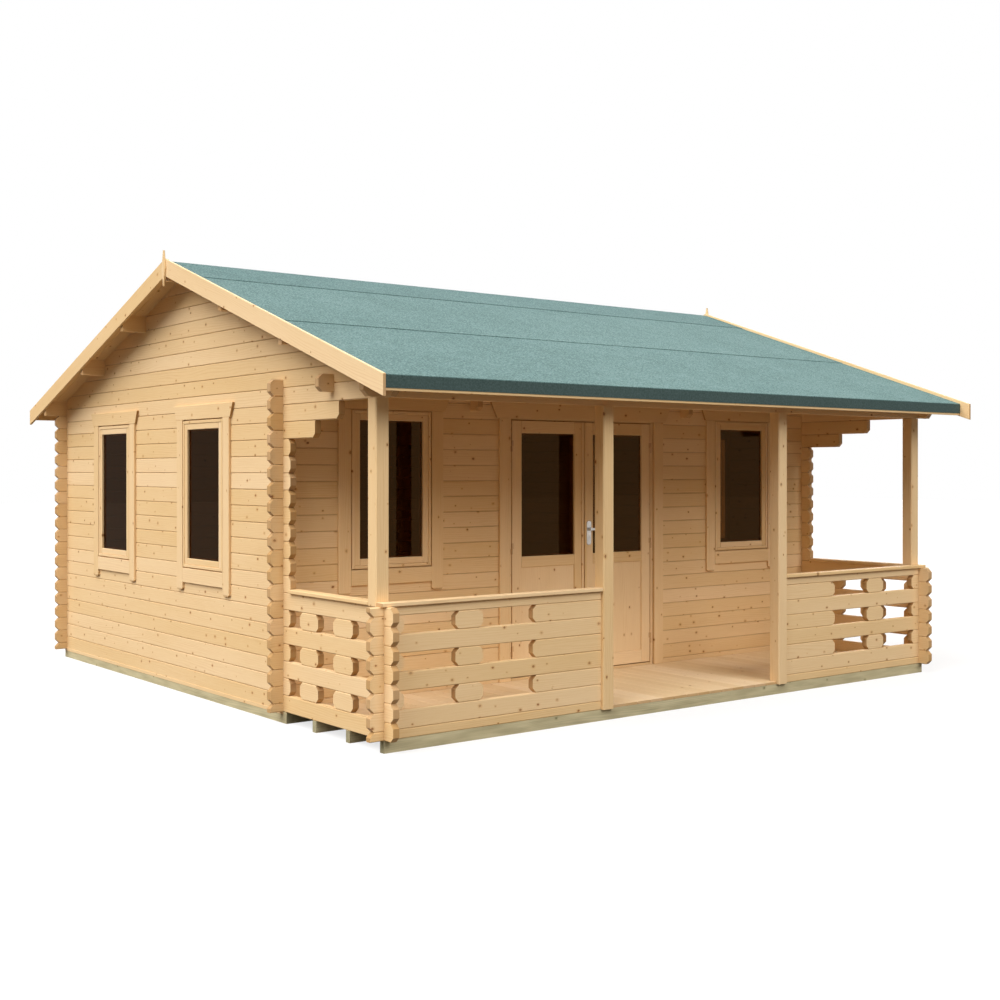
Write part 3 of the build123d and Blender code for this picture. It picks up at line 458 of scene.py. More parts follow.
@dataclass
class Finishes:
    """Every finish of the cabin, made once."""

    made: dict[str, Material] = field(default_factory=dict)

    def timber(self, name: str, grain: Grain, **more: object) -> None:
        """Make pale spruce of the logs and joinery, with the options given."""
        wood = Wood("spruce_" + name, "F0D0A0", "DDB47E", "875026", "B88F5E", grain, **more)
        self.made[name] = wood.material()

    def treated(self, name: str, grain: Grain) -> None:
        """Make pressure-treated softwood: greenish, rougher and duller."""
        wood = Wood(name, "E2D4AB", "AEA98B", "726A49", "A09878", grain, course=0.2, spread=0.32,
                    cloud=(4.0, 24.0, 24.0), roughness=0.75, relief=0.5, knot_share=0.4,
                    knot_gap=(0.4, 0.08))
        self.made[name] = wood.material()

    def make(self) -> None:
        """Make all the materials."""
        gable = {"course": LOG_H, "course_start": BASE}
        front = {"course": LOG_H, "course_start": BASE - LOG_H / 2}
        # Log walls and railings get painted shade in the grooves between courses
        self.timber("gable_logs", Grain.ALONG_Y, groove=0.42, **gable)
        self.timber("wall_logs", Grain.ALONG_X, groove=0.34, **front)
        self.timber("railing_logs", Grain.ALONG_X, groove=0.2, **front)
        self.timber("railing_blocks", Grain.ALONG_Y, **gable)
        self.timber("beams", Grain.ALONG_X)
        self.timber("ties", Grain.ALONG_Y)
        self.timber("posts", Grain.ALONG_Z, knot_share=0.68, knot_gap=(0.16, 0.10))
        self.timber("boards", Grain.OWN, knot_share=0.6, knot_gap=(0.22, 0.11))
        self.treated("treated_bearer", Grain.ALONG_X)
        self.treated("treated_wall_bearer", Grain.ALONG_Y)
        deck = Wood("spruce_floorboards", "F3D9B0", "E0BC8C", "8F5D33", "C9A273", Grain.OWN,
                    knot_share=0.34, knot_gap=(0.24, 0.12))
        self.made |= {
            "floorboards": deck.material(),
            "felt": Felt().material(),
            "ridge_felt": Felt("mineral_ridge_felt", "597675", "3C5352", "768F8D").material(),
            "glass": Glass().material(),
            "metal": Metal().material(),
            "hinge_metal": Metal("beige_coated_steel", "D9B283", "C79F70", 0.0).material(),
        }

    def dress(self, finish: str, *nodes: str) -> None:
        """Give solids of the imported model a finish.

        Args:
            finish: key of the finish.
            *nodes: nodes that take it.
        """
        for name in nodes:
            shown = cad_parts[name]
            shown.data.materials.clear()
            shown.data.materials.append(self.made[finish])
            LOG.info("dressed %s in %s", name, finish)


FINISHES = Finishes()


@dataclass
class Board:
    """Sawn board: an eight-sided section carried along its grain.

    Sizes are length, width and thickness. Each skew moves that end along the board, per metre across
    and per metre through. Foot is a bevel on the two edges at each end, for cut corners.
    """

    middle: Vec
    along: Vec
    across: Vec
    size: Vec
    start_skew: Pair = (0.0, 0.0)
    end_skew: Pair = (0.0, 0.0)
    foot: Pair = (0.0, 0.0)
    arris: float = 0.002


# Section of a board: the side of each corner point across and through, and which side its cut takes
SECTION_ACROSS = np.array([1, 1, 1, -1, -1, -1, -1, 1], dtype=float)
SECTION_THROUGH = np.array([-1, 1, 1, 1, 1, -1, -1, -1], dtype=float)
SECTION_CUT = np.array([0, 0, 1, 1, 0, 0, 1, 1], dtype=float)
# Four stations along it: which end each is near, and the tips
STATION_END = np.array([-1, -1, 1, 1], dtype=float)
STATION_TIP = np.array([1, 0, 0, 1], dtype=float)
# Share of the arris drawn in at the tips, and metres that the grain shifts from board to board
TIP_DRAW = 0.6
GRAIN_SHIFT = 40.0
SIDE_SHIFT = 3.0


def put(name: str, data: bpy.types.ID) -> Thing:
    """Put a new object in the scene."""
    made = bpy.data.objects.new(name, data)
    bpy.context.scene.collection.objects.link(made)
    return made


def show(name: str, points: np.ndarray, faces: Sequence[Sequence[int]], finish: str,
         body: Body = Body.CABIN) -> Thing:
    """Make a mesh piece that rides on a body.

    Args:
        name: piece name.
        points: places in the frame.
        faces: vertex numbers of each face.
        finish: key of its finish.
        body: body that carries the piece.

    Returns:
        The new object.
    """
    mesh = bpy.data.meshes.new(name)
    mesh.from_pydata(points.reshape(-1, 3).tolist(), [], faces)
    mesh.materials.append(FINISHES.made[finish])
    piece = put(name, mesh)
    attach(piece, body.value)
    LOG.info("%s: %d faces on %s", name, len(faces), body.value)
    return piece


def tube(stations: int, around: int) -> np.ndarray:
    """Faces of a ring of points carried along: two neighbours and the same two at the next station.

    Args:
        stations: rings along the tube.
        around: points of each ring.

    Returns:
        Four vertex numbers for each face.
    """
    here, col = np.meshgrid(np.arange(stations - 1) * around, np.arange(around), indexing="ij")
    ahead, nxt = here + around, (col + 1) % around
    return np.stack([here + col, here + nxt, ahead + nxt, ahead + col], axis=-1).reshape(-1, 4)


def boards_piece(name: str, boards: list[Board], finish: str = "boards",
                 seed: int = 1, body: Body = Body.CABIN) -> Thing:
    """Build many boards as one mesh.

    A point is the board's middle, plus a station times the grain's direction, plus the section's two
    offsets times the directions across and through. The section is a rectangle with cut corners, drawn
    in at the two outermost of four stations.

    Args:
        name: piece name.
        boards: the boards.
        finish: key of the finish.
        seed: start of the chance that shifts the grain from board to board.
        body: body that carries the piece.

    Returns:
        The new object, with the attributes lay, tone and cut.
    """

    def column(label: str) -> np.ndarray:
        """One field of every board."""
        return np.array([getattr(board, label) for board in boards], dtype=float)

    along, across = (way / np.linalg.norm(way, axis=1, keepdims=True)
                     for way in (column("along"), column("across")))
    through = np.cross(along, across)
    half = column("size")[:, :, None, None] / 2
    arris = column("arris")[:, None, None]
    near_end = np.where(STATION_END < 0, 0, 1)
    foot = column("foot")[:, near_end][:, :, None]
    skew = np.stack([column("start_skew"), column("end_skew")], axis=1)[:, near_end]
    tip = STATION_TIP[None, :, None]
    draw = TIP_DRAW * tip * arris
    corner = arris * (1 - TIP_DRAW * tip)
    u = SECTION_ACROSS * (half[:, 1] - np.maximum(draw, foot * tip) - corner * SECTION_CUT)
    v = SECTION_THROUGH * (half[:, 2] - draw - corner * (1 - SECTION_CUT))
    inset_by = np.maximum(arris, foot) * (1 - tip)
    s = STATION_END[None, :, None] * (half[:, 0] - inset_by) + skew[:, :, 0:1] * u + skew[:, :, 1:2] * v
    points = column("middle")[:, None, None]
    for offset, way in ((s, along), (u, across), (v, through)):
        points = points + offset[..., None] * way[:, None, None]
    stations, around = len(STATION_TIP), len(SECTION_CUT)
    ring = np.arange(around)
    starts = np.arange(len(boards))[:, None, None] * stations * around
    faces = (starts + tube(stations, around)).reshape(-1, 4).tolist()
    faces += (starts[:, 0] + ring[::-1]).tolist()
    faces += (starts[:, 0] + (stations - 1) * around + ring).tolist()
    piece = show(name, points, faces, finish, body)
    chance = np.random.default_rng(seed)
    each = (len(boards), 1, 1)
    shift = chance.uniform(-GRAIN_SHIFT, GRAIN_SHIFT, each)
    side = chance.uniform(-SIDE_SHIFT, SIDE_SHIFT, each)
    lay = np.stack([s + shift, u + side, v + side], axis=-1)
    tone = np.broadcast_to(chance.uniform(0, 1, each), s.shape)
    for label, values in (("lay", lay), ("tone", tone), ("cut", np.broadcast_to(tip, s.shape))):
        kind, item = ("FLOAT_VECTOR", "vector") if label == "lay" else ("FLOAT", "value")
        store = piece.data.attributes.new(label, kind, "POINT")
        store.data.foreach_set(item, values.ravel().astype(np.float32))
    return piece


def inset(ends: Ends, by: float) -> Pair:
    """Both ends moved in by a distance."""
    return ends[0] + by, ends[1] - by


def about(middle: float, size: float) -> Pair:
    """Both ends of a size about its middle."""
    return middle - size / 2, middle + size / 2


@dataclass
class Place:
    """Where a joinery piece stands: an origin and a quarter turn, made facing -Y."""

    origin: Vec
    x_axis: Vec
    y_axis: Vec

    def at(self, x: float, y: float, z: float) -> Vec:
        """Point of the piece in the frame."""
        across, inward = np.array(self.x_axis), np.array(self.y_axis)
        return tuple(np.array(self.origin) + x * across + y * inward + (0, 0, z))

    def bar(self, x: Ends, y: Ends, z: Ends, upright: bool, **more: object) -> Board:
        """Board between two ends along each axis, its grain upright or level.

        Args:
            x: ends along the wall.
            y: outer and inner face.
            z: lower and upper end.
            upright: True where the grain runs up.
            **more: the board's own options.

        Returns:
            The board.
        """
        middle = self.at(sum(x) / 2, sum(y) / 2, sum(z) / 2)
        wide, deep, tall = x[1] - x[0], y[1] - y[0], z[1] - z[0]
        if upright:
            return Board(middle, (0, 0, 1), self.x_axis, (tall, wide, deep), **more)
        return Board(middle, self.x_axis, (0, 0, 1), (wide, tall, deep), **more)

    def ring(self, x: Ends, y: Ends, z: Ends, width: float, mitred: bool,
             **more: object) -> list[Board]:
        """Four bars round an opening: the outer rectangle x by z, each bar as wide as given.

        Args:
            x: outer ends along the wall.
            y: outer and inner face.
            z: outer lower and upper end.
            width: face width of the bars.
            mitred: True for mitred corners, False for uprights that run through.
            **more: the boards' own options.

        Returns:
            The four boards.
        """
        made = []
        for side in SIDES:
            cut = {"start_skew": (-side, 0.0), "end_skew": (side, 0.0)} if mitred else {}
            edge = x[0] if side < 0 else x[1] - width
            span = inset(z, width / 2) if mitred else z
            made.append(self.bar((edge, edge + width), y, span, True, **cut, **more))
            low = z[0] if side < 0 else z[1] - width
            inner = inset(x, width / 2 if mitred else width)
            made.append(self.bar(inner, y, (low, low + width), False, **cut, **more))
        return made


FRONT = Place((0, FRONT_WALL, 0), (1, 0, 0), (0, 1, 0))


@dataclass
class Joinery:
    """Sizes that windows and the door share, and the boards round an opening."""

    trim_t: float = 0.018
    fit: float = 0.0004
    bead_arris: float = 0.004
    bead_w: float = 0.012
    soft_arris: float = 0.003

    @property
    def trim_y(self) -> Pair:
        """Outer and inner face of the boards on the logs."""
        return -self.trim_t - self.fit, -self.fit

    def outer_boards(self, place: Place, half: float, z: Ends, side_w: float, foot: float,
                     head: Ends) -> list[Board]:
        """Side boards and a flared head board on the logs.

        Args:
            place: where the opening is.
            half: half the opening's width.
            z: foot of the side boards and underside of the head board.
            side_w: width of the side boards.
            foot: bevel on the side boards' lower corners.
            head: height, lip and flare of the head board.

        Returns:
            The three boards.
        """
        y = self.trim_y
        made = []
        for side in SIDES:
            x = sorted((side * half, side * (half + side_w)))
            made.append(place.bar(x, y, (z[0], z[1] - self.fit), True, foot=(foot, 0.0)))
        head_h, lip, flare = head
        reach = half + side_w + lip + flare / 2
        slant = flare / head_h
        made.append(place.bar((-reach, reach), y, (z[1], z[1] + head_h), False,
                              start_skew=(-slant, 0.0), end_skew=(slant, 0.0)))
        return made


@dataclass
class Windows(Joinery):
    """Six fixed windows: casing, sash, beads and the boards round the outside."""

    width: float = 0.680
    height: float = 1.120
    casing_w: float = 0.030
    casing_y: Pair = (-0.016, 0.054)
    sash_w: float = 0.045
    sash_y: Pair = (-0.012, 0.028)
    bead_y: Pair = (0.0114, 0.024)
    groove_w: float = 0.008
    groove_floor: float = 0.004
    trim_w: float = 0.100
    sill_h: float = 0.108
    leg: float = 0.058
    leg_bevel: float = 0.014
    head: Vec = (0.106, 0.015, 0.045)
    gable_y: Pair = (-0.2145, 1.4895)
    gable_z: float = 0.952
    front_x: Pair = (-1.814, 1.814)
    front_z: float = 0.998

    def places(self) -> dict[str, list[Place]]:
        """Places of the windows by wall, with the underside of each as the origin's height."""
        return {
            "left": [Place((-GABLE_WALL, y, self.gable_z), (0, -1, 0), (1, 0, 0)) for y in self.gable_y],
            "right": [Place((GABLE_WALL, y, self.gable_z), (0, 1, 0), (-1, 0, 0)) for y in self.gable_y],
            "front": [Place((x, FRONT_WALL, self.front_z), (1, 0, 0), (0, 1, 0)) for x in self.front_x],
        }

    def build(self) -> None:
        """Build the boards of each wall's windows and dress the panes."""
        half = self.width / 2
        for number, (wall, places) in enumerate(self.places().items()):
            frames, trim = [], []
            for place in places:
                x, z = (-half, half), (0.0, self.height)
                frames += place.ring(x, (self.groove_floor, self.casing_y[1]), z, self.casing_w, False)
                face = (self.casing_y[0], self.groove_floor - self.fit)
                frames += place.ring(inset(x, self.groove_w), face, inset(z, self.groove_w),
                                     self.casing_w - self.groove_w, False)
                x, z = (inset(ends, self.casing_w + self.fit) for ends in (x, z))
                frames += place.ring(x, self.sash_y, z, self.sash_w, False, arris=self.soft_arris)
                x, z = (inset(ends, self.sash_w) for ends in (x, z))
                frames += place.ring(x, self.bead_y, z, self.bead_w, True, arris=self.bead_arris)
                sides_z = (-self.sill_h - self.leg, self.height)
                trim += self.outer_boards(place, half, sides_z, self.trim_w, self.leg_bevel, self.head)
                sill_x = inset((-half, half), self.fit)
                trim.append(place.bar(sill_x, self.trim_y, (-self.sill_h, 0.0), False))
            made = boards_piece(wall + "_window_joinery", frames, seed=20 + number)
            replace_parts(made, wall + "_window_frames")
            made = boards_piece(wall + "_window_boards", trim, seed=30 + number)
            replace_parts(made, wall + "_window_trim")
            FINISHES.dress("glass", wall + "_window_panes")


@dataclass
class Door(Joinery):
    """Double door: frame, outer boards and two leaves, glazed above a panel."""

    half: float = 0.7571
    jamb_t: float = 0.028
    frame_y: Pair = (0.004, 0.046)
    top: float = 2.1066
    sill_h: float = 0.037
    trim_half: float = 0.7535
    trim_w: float = 0.101
    trim_z: Pair = (0.0964, 2.086)
    head: Vec = (0.117, 0.025, 0.056)
    leaf_x: Pair = (0.004, 0.7211)
    leaf_y: Pair = (0.004, 0.044)
    leaf_z: Pair = (0.121, 2.0706)
    stile_w: float = 0.093
    panel_z: Pair = (0.224, 0.951)
    glass_z: Pair = (1.033, 1.9766)
    panel_t: float = 0.022
    bead_y: Pair = (0.0275, 0.040)
    cover_x: Pair = (0.005, 0.0264)
    cover_y: Pair = (-0.005, 0.0036)

    def leaf(self, side: int) -> list[Board]:
        """Stiles, rails, panel, inner beads and half the cover strip of one leaf.

        Args:
            side: -1 for the left leaf, 1 for the right.

        Returns:
            The leaf's boards.
        """
        x = sorted(side * end for end in self.leaf_x)
        inner = inset(x, self.stile_w)
        y, z = self.leaf_y, self.leaf_z
        made = [FRONT.bar((x[0], inner[0]), y, z, True), FRONT.bar((inner[1], x[1]), y, z, True)]
        levels = (z[0], *self.panel_z, *self.glass_z, z[1])
        made += [FRONT.bar(inner, y, rail, False) for rail in zip(levels[::2], levels[1::2])]
        made.append(FRONT.bar(inner, about(sum(y) / 2, self.panel_t), self.panel_z, True))
        made += FRONT.ring(inner, self.bead_y, self.glass_z, self.bead_w, True, arris=self.bead_arris)
        cover = sorted(side * end for end in self.cover_x)
        made.append(FRONT.bar(cover, self.cover_y, z, True, arris=self.soft_arris))
        return made

    def build(self) -> None:
        """Build the frame, the outer boards and both leaves, and dress panes and metal."""
        inner, under = self.half - self.jamb_t, self.top - self.jamb_t
        jamb_z, sill_z = (BASE, under - self.fit), (BASE, BASE + self.sill_h)
        bars = [FRONT.bar(sorted((side * inner, side * self.half)), self.frame_y, jamb_z, True)
                for side in SIDES]
        bars.append(FRONT.bar((-self.half, self.half), self.frame_y, (under, self.top), False))
        bars.append(FRONT.bar(inset((-inner, inner), self.fit), self.frame_y, sill_z, False))
        made = boards_piece("door_frame_bars", bars, seed=40)
        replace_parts(made, "door_frame")
        trim = self.outer_boards(FRONT, self.trim_half, self.trim_z, self.trim_w, 0.0, self.head)
        made = boards_piece("door_outer_boards", trim, seed=41)
        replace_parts(made, "door_trim")
        for side, body in ((-1, Body.LEFT_LEAF), (1, Body.RIGHT_LEAF)):
            name = "left" if side < 0 else "right"
            made = boards_piece(name + "_door_joinery", self.leaf(side), seed=42 + side, body=body)
            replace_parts(made, name + "_door_leaf")
            FINISHES.dress("glass", name + "_door_pane")
        FINISHES.dress("hinge_metal", "left_door_hinges", "right_door_hinges", "frame_hinges")
        FINISHES.dress("metal", "door_plates", "door_lever")


@dataclass
class Floors:
    """Veranda deck and room floor, board by board, front to back."""

    z: Pair = (BASE, 0.096)
    half_width: float = 2.625
    deck_y: Pair = (-2.6195, -1.4305)
    step_front: float = -2.6675
    step_half: float = 0.8375
    post_half: float = 0.9405
    post_back: float = -2.594
    room_y: Pair = (-1.3785, 2.6195)
    pitch: float = 0.120
    gap: float = 0.003
    arris: float = 0.0025

    def run(self, x: Ends, y: Ends) -> list[Board]:
        """Equal boards side by side, each running front to back.

        Args:
            x: ends of the row.
            y: front and back end of the boards.

        Returns:
            The boards.
        """
        count = max(1, round((x[1] - x[0]) / self.pitch))
        step = (x[1] - x[0]) / count
        thick = self.z[1] - self.z[0]
        return [Board((x[0] + step * (i + 0.5), sum(y) / 2, sum(self.z) / 2), (0, 1, 0), (-1, 0, 0),
                      (y[1] - y[0], step - self.gap, thick), arris=self.arris) for i in range(count)]

    def build(self) -> None:
        """Build both floors."""
        back = self.deck_y[1]
        deck = self.run((-self.step_half, self.step_half), (self.step_front, back))
        for side in SIDES:
            edges = [side * edge for edge in (self.step_half, self.post_half, self.half_width)]
            deck += self.run(sorted(edges[:2]), (self.post_back, back))
            deck += self.run(sorted(edges[1:]), self.deck_y)
        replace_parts(boards_piece("veranda_deck", deck, "floorboards", 50), "veranda_floor")
        room = self.run((-self.half_width, self.half_width), self.room_y)
        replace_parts(boards_piece("room_boards", room, "floorboards", 51), "room_floor")


@dataclass
class Roof:
    """Roof boards, eave boards, bargeboards and felt on both slopes."""

    pitch: float = math.radians(18.9)
    half_depth: float = 2.6675
    eaves: float = 2.3035
    board_t: float = 0.019
    board_w: float = 0.0956
    board_edge: float = 2.8821
    board_gap: float = 0.0006
    board_arris: float = 0.003
    reach: float = 2.8676
    edge: float = 2.9005
    eave_t: float = 0.018
    eave_h: float = 0.093
    barge_x: Pair = (2.868, 2.888)
    barge_h: float = 0.130
    barge_rise: float = 0.029
    barge_end: float = 2.9905
    felt_t: float = 0.003
    felt_rest: float = 0.0006
    felt_bend: float = 0.004
    drop: float = 0.077
    lap: float = 1.698
    lap_w: float = 0.08
    ridge_strip: float = 0.496
    upper_lift: float = 1.25
    ridge_lift: float = 2.5
    swell: float = 0.0006
    swell_fade: float = 0.2
    swell_waves: tuple[Pair, Pair] = ((3.1, 2.3), (0.7, 5.3))
    stations: int = 181
    hung_rows: int = 8
    lower_rows: int = 26
    upper_rows: int = 40
    strip_rows: int = 61

    @property
    def lean(self) -> float:
        """Fall of the roof for each metre across."""
        return math.tan(self.pitch)

    def down(self, side: int) -> Vec:
        """Direction down the front slope, -1, or the back one, 1."""
        return 0, side * math.cos(self.pitch), -math.sin(self.pitch)

    def under(self, y: np.ndarray | float) -> np.ndarray | float:
        """Height of the roof boards' underside at a distance from the ridge."""
        return self.eaves + (self.half_depth - np.abs(y)) * self.lean

    def over(self, y: np.ndarray | float) -> np.ndarray | float:
        """Height of the roof boards' upper face."""
        return self.under(y) + self.board_t / math.cos(self.pitch)

    def slope_boards(self, side: int) -> list[Board]:
        """Boards from ridge to eaves, cut plumb at both ends.

        Args:
            side: -1 for the front slope, 1 for the back.

        Returns:
            The boards.
        """
        count = round(2 * self.reach / self.board_w)
        step = 2 * self.reach / count
        plumb = (0.0, -self.lean)
        y = side * self.board_edge / 2
        z = (self.under(y) + self.over(y)) / 2
        size = (self.board_edge / math.cos(self.pitch), step - self.board_gap, self.board_t)
        return [Board((-self.reach + step * (i + 0.5), y, z), self.down(side), (-side, 0, 0), size,
                      plumb, plumb, arris=self.board_arris) for i in range(count)]

    def bargeboards(self, side: int) -> list[Board]:
        """Two boards on one gable, cut plumb at the peak and the eaves.

        Args:
            side: -1 for the left gable, 1 for the right.

        Returns:
            The boards.
        """
        peak = self.over(0.0) + self.barge_rise
        plumb = (-self.lean, 0.0)
        made = []
        for way in SIDES:
            y = way * self.barge_end / 2
            z = peak - self.barge_h / 2 - abs(y) * self.lean
            up = (0, way * math.sin(self.pitch), math.cos(self.pitch))
            size = (self.barge_end / math.cos(self.pitch), self.barge_h * math.cos(self.pitch),
                    self.barge_x[1] - self.barge_x[0])
            middle = (side * sum(self.barge_x) / 2, y, z)
            made.append(Board(middle, self.down(way), up, size, plumb, plumb))
        return made

    def felt_sheet(self, name: str, y: np.ndarray, z: np.ndarray, finish: str = "felt") -> Thing:
        """Sheet of felt: a line of (y, z) points carried along X, thickened square to itself.

        A point is the line's point plus its normal times the lift, where the lift is a low swell that
        depends on x and on the distance from the ridge, and is the same for every sheet.

        Args:
            name: piece name.
            y: distances across the ridge, from the lower edge up.
            z: heights.
            finish: key of the finish.

        Returns:
            The new object.
        """
        line = np.stack([y, z], axis=1)
        run = np.gradient(line, axis=0)
        run /= np.linalg.norm(run, axis=1, keepdims=True)
        hand = int(np.sign(y[-1] - y[0]))
        out = hand * np.stack([-run[:, 1], run[:, 0]], axis=1)
        x = np.linspace(-self.reach, self.reach, self.stations)
        wide, tall = np.meshgrid(x, y, indexing="ij")
        long, short = (np.sin(a * wide + b * tall) for a, b in self.swell_waves)
        swell = self.swell * (1 + long * short)
        swell = swell * np.clip((self.edge - np.abs(tall)) / self.swell_fade, 0, 1)
        loop = np.concatenate([np.arange(len(y)), np.arange(len(y))[::-1]])
        lift = np.concatenate([np.full(len(y), self.felt_t), np.zeros(len(y))])
        offset = swell[:, loop] + lift[None]
        points = np.empty((len(x), len(loop), 3))
        points[..., 0] = x[:, None]
        points[..., 1:] = line[loop][None] + offset[..., None] * out[loop][None]
        k = np.arange(len(y) - 1)
        cap = np.stack([k, 2 * len(y) - 1 - k, 2 * len(y) - 2 - k, k + 1], axis=-1)
        end = (len(x) - 1) * len(loop)
        faces = np.concatenate([tube(len(x), len(loop)), cap, end + cap[:, ::-1]])[:, ::-hand]
        return show(name, points, faces.tolist(), finish)

    def felt(self, side: int) -> None:
        """Lower and upper sheet of one slope, the lower one turned down over the eave board.

        Args:
            side: -1 for the front slope, 1 for the back.
        """
        name = "front" if side < 0 else "back"
        rest = self.felt_rest
        out = self.edge + rest
        top = self.over(self.edge) + rest
        slope = np.linspace(self.edge - self.felt_bend, self.lap - self.lap_w, self.lower_rows)
        hung = np.linspace(top - self.drop, top - self.felt_t, self.hung_rows)
        y = np.concatenate([np.full(len(hung), out), [out], slope])
        z = np.concatenate([hung, [top], self.over(slope) + rest])
        lower = self.felt_sheet(name + "_lower_felt", side * y, z)
        slope = np.linspace(self.lap, self.felt_bend, self.upper_rows)
        lift = rest + self.felt_t * self.upper_lift
        self.felt_sheet(name + "_upper_felt", side * slope, self.over(slope) + lift)
        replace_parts(lower, name + "_felt")

    def build(self) -> None:
        """Build the roof skin and dress the beams."""
        for side, name in zip(SIDES, ("front", "back")):
            made = boards_piece(name + "_slope_boards", self.slope_boards(side), seed=60 + side)
            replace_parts(made, name + "_roof_boards")
            self.felt(side)
        strip = np.linspace(-self.ridge_strip, self.ridge_strip, self.strip_rows)
        lift = self.felt_rest + self.felt_t * self.ridge_lift
        ridge = self.felt_sheet("ridge_strip", strip, self.over(strip) + lift, "ridge_felt")
        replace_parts(ridge, "ridge_felt")
        y, z = self.edge - self.eave_t / 2, self.over(self.edge) - self.eave_h / 2
        size = (2 * self.reach, self.eave_h, self.eave_t)
        eaves = [Board((0, side * y, z), (1, 0, 0), (0, 0, 1), size) for side in SIDES]
        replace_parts(boards_piece("eave_edge_boards", eaves, seed=63), "eave_boards")
        for side, name in zip(SIDES, ("left", "right")):
            made = boards_piece(name + "_barge_boards", self.bargeboards(side), seed=65 + side)
            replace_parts(made, name + "_bargeboards")
        FINISHES.dress("posts", "finials")
        FINISHES.dress("beams", "ridge_beam", "purlins", "back_eave_log", "front_eave_beam",
                       "veranda_tie")
        FINISHES.dress("ties", "room_ties")


@dataclass
class Walls:
    """Log walls, railings, posts and bearers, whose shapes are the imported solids."""

    cap_z: Pair = (0.874, 0.900)
    cap_x: Pair = (-2.6985, -0.9369)
    cap_y: Pair = (-2.6905, -2.6179)
    side_cap_x: Pair = (-2.696, -2.606)
    side_cap_y: Pair = (-2.5221, -1.5249)
    cap_arris: float = 0.004
    back_wall: float = 2.670
    tongue_reach: float = 2.62
    tongue_y: Pair = (0.014, 0.030)
    tongue_h: float = 0.012
    tongue_top: float = 2.25
    bed: float = 0.003
    lip_reach: Pair = (2.668, -1.428)
    lip_y: Pair = (-0.0022, -0.0002)
    lip_z: Pair = (0.058, 0.0835)
    lip_arris: float = 0.0006

    def gaps(self, name: str, place: Place) -> list[tuple[float, float, float, float]]:
        """Openings of a wall: both ends along it, foot and top.

        Args:
            name: the wall.
            place: where the wall stands.

        Returns:
            An item for each window, and for the door in the front wall.
        """
        windows, door = Windows(), Door()
        half = windows.width / 2 + self.bed
        found = []
        for spot in windows.places().get(name, []):
            middle = float(np.dot(spot.origin, place.x_axis))
            foot = spot.origin[2]
            found.append((middle - half, middle + half, foot, foot + windows.height))
        if name == "front":
            found.append((-door.half - self.bed, door.half + self.bed, 0.0, door.top))
        return found

    def joints(self) -> None:
        """Build tongues between courses, broken at openings, and lips under the lowest gable logs."""
        reach, corner = self.tongue_reach, -FRONT_WALL - self.bed
        walls = {
            "left": (Place((-GABLE_WALL, 0, 0), (0, -1, 0), (1, 0, 0)), (-reach, corner), LOG_H),
            "right": (Place((GABLE_WALL, 0, 0), (0, 1, 0), (-1, 0, 0)), (-corner, reach), LOG_H),
            "front": (FRONT, (-reach, reach), LOG_H / 2),
            "back": (Place((0, self.back_wall, 0), (-1, 0, 0), (0, -1, 0)), (-reach, reach), LOG_H / 2),
        }
        made = []
        for name, (place, ends, first) in walls.items():
            gaps = self.gaps(name, place)
            level = BASE + first
            while level < self.tongue_top:
                z = about(level, self.tongue_h)
                cuts = sorted(gap[:2] for gap in gaps
                              if gap[2] - self.bed < z[1] and z[0] < gap[3] + self.bed)
                edges = [ends[0], *(edge for cut in cuts for edge in cut), ends[1]]
                spans = zip(edges[::2], edges[1::2])
                made += [place.bar(span, self.tongue_y, z, False) for span in spans]
                level += LOG_H
        boards_piece("log_tongues", made, seed=80)
        lips = []
        for name, side in (("left", -1), ("right", 1)):
            ends = sorted(side * end for end in self.lip_reach)
            lips.append(walls[name][0].bar(ends, self.lip_y, self.lip_z, False, arris=self.lip_arris))
        boards_piece("gable_foot_lips", lips, seed=81)

    def build(self) -> None:
        """Dress the logs, close their joints and build the railing caps."""
        self.joints()
        FINISHES.dress("gable_logs", "left_gable_wall", "right_gable_wall")
        FINISHES.dress("railing_blocks", "left_railing_blocks", "right_railing_blocks")
        FINISHES.dress("wall_logs", "back_wall", "front_wall_left", "front_wall_right",
                       "front_wall_head", "front_wall_upper")
        FINISHES.dress("railing_logs", "front_left_railing", "front_right_railing")
        FINISHES.dress("posts", "corner_posts", "centre_posts")
        FINISHES.dress("treated_bearer", "front_bearer", "veranda_bearers")
        FINISHES.dress("treated_wall_bearer", "room_bearers")
        caps = []
        thick = self.cap_z[1] - self.cap_z[0]
        z = sum(self.cap_z) / 2
        for s in SIDES:
            for x, y in ((self.cap_x, self.cap_y), (self.side_cap_x, self.side_cap_y)):
                middle, size = (-s * sum(x) / 2, sum(y) / 2, z), (x[1] - x[0], y[1] - y[0])
                along, across = ((1, 0, 0), (0, 1, 0)) if size[0] > size[1] else ((0, 1, 0), (-1, 0, 0))
                caps.append(Board(middle, along, across, (max(size), min(size), thick),
                                  arris=self.cap_arris))
        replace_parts(boards_piece("railing_cap_boards", caps, seed=70), "railing_caps")


